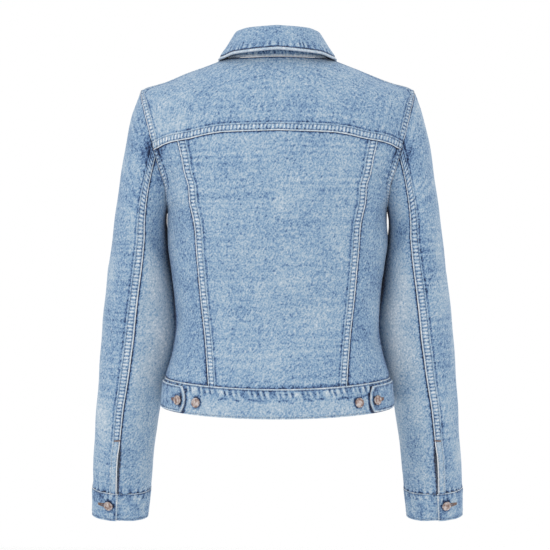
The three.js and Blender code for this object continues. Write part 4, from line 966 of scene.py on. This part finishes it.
def button(name, radius, seat, out):
    """A turned button on a seat in mm, facing out of the cloth."""
    aside = np.cross(out, [0, 0, 1.0])
    aside /= np.linalg.norm(aside)
    over = np.cross(out, aside)
    count = 28
    turns = np.linspace(0, 2 * math.pi, count, endpoint=False)[:, None]
    around = radius * (aside * np.cos(turns) + over * np.sin(turns))
    (_, foot), *body, (_, top) = BUTTON_OUTLINE
    points = np.concatenate([[seat + out * foot, seat + out * top]]
                            + [seat + out * height + share * around for share, height in body])
    faces = []
    for i in range(count):
        k = (i + 1) % count
        last = 2 + (len(body) - 1) * count
        faces += [(0, 2 + i, 2 + k), (1, last + k, last + i)]
        for low in range(2, last, count):
            faces.append((low + i, low + count + i, low + count + k, low + k))
    mesh = bpy.data.meshes.new(name + "_metal")
    mesh.from_pydata((points / 1000).tolist(), [], faces)
    mesh.shade_smooth()
    mesh.set_sharp_from_angle(angle=math.radians(40))
    mesh.materials.append(METAL)
    piece = placed(name + "_metal", mesh)
    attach(piece, "root")
    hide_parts(name)


def seat_on(place, lift, facing=1):
    """A button's seat at a lift above a spot of the cloth, and the way it faces."""
    here, _, _, out = spot(place, facing)
    return here + out * lift, out


TOP_BUTTON, LOWEST_BUTTON, FRONT_BUTTON = -92, -494, 8.5
for i in range(6):
    z = TOP_BUTTON + (LOWEST_BUTTON - TOP_BUTTON) * i / 5
    row = float(root(lambda r: torso(-1, 0.0, r)[..., 2] - z, np.array(0.0), np.array(16.0)))
    lift = 2.5 + (0.8 if row < BAND_TOP else 0)
    seat = seat_on(lambda a, b: torso(-1, 0.02 * a, row + 0.02 * b), lift, -1)
    button(f"button_front_{i + 1}", FRONT_BUTTON, *seat)
for word, side in SIDES:
    for place, x, lift in (("tab", TAB_BUTTON, 3.3), ("band", BAND_BUTTON, 0.8)):
        across = side * across_at(x, BUTTON_ROW)
        seat = seat_on(lambda a, b: torso(1, across + 0.02 * a, BUTTON_ROW + 0.02 * b), lift)
        button(f"button_{place}_{word}", SMALL_BUTTON, *seat)
    seat, out = seat_on(lambda a, b: sleeve(CUFF_BUTTON + a, CUFF_MIDDLE + 0.02 * b), 0.8)
    button(f"button_cuff_{word}", SMALL_BUTTON, seat * [side, 1, 1], out * [side, 1, 1])

# Floor, camera and light: a plain pale floor under the hanging garment, the photograph's straight view of
# the back from 2.5 m, and soft white studio light from all round with a large lamp high on each side.
floor_mesh = bpy.data.meshes.new("floor")
corners = [(x * 1.6, y * 1.5, -0.95) for x, y in ((-1, -1), (1, -1), (1, 1), (-1, 1))]
floor_mesh.from_pydata(corners, [], [(0, 1, 2, 3)])
floor = placed("floor", floor_mesh)
floor_mesh.materials.append(new_material("pale_floor", Base_Color=linear("#f4f4f4"), Roughness=0.9)[0])

camera = placed("camera", bpy.data.cameras.new("camera"))
camera.location = (0.0036, 2.5, -0.319)
camera.rotation_euler = (math.radians(90), 0, math.radians(180))
camera.data.lens, camera.data.sensor_width = 112.85, 36
bpy.context.scene.camera = camera

world = bpy.data.worlds.new("studio")
world.use_nodes = True
world.node_tree.nodes["Background"].inputs["Color"].default_value = (1, 1, 1, 1)
world.node_tree.nodes["Background"].inputs["Strength"].default_value = 1.0
bpy.context.scene.world = world
#   name, place, watts, size; each lamp faces the middle of the garment
for name, place, watts, size in (("key", (1.8, 1.8, 1.2), 11, 1.2), ("fill", (-1.8, 2.2, 0.6), 2, 1.4),
                                 ("front_key", (-1.4, -2.2, 1.1), 8, 1.4)):
    lamp = placed(name, bpy.data.lights.new(name, "AREA"))
    lamp.data.energy, lamp.data.size = watts, size
    lamp.location = place
    away = np.array(place) - [0, 0, -0.32]
    flat = math.hypot(away[0], away[1])
    lamp.rotation_euler = (math.atan2(flat, away[2]), 0, math.atan2(away[0], -away[1]))
bpy.context.scene.view_settings.view_transform = "Standard"
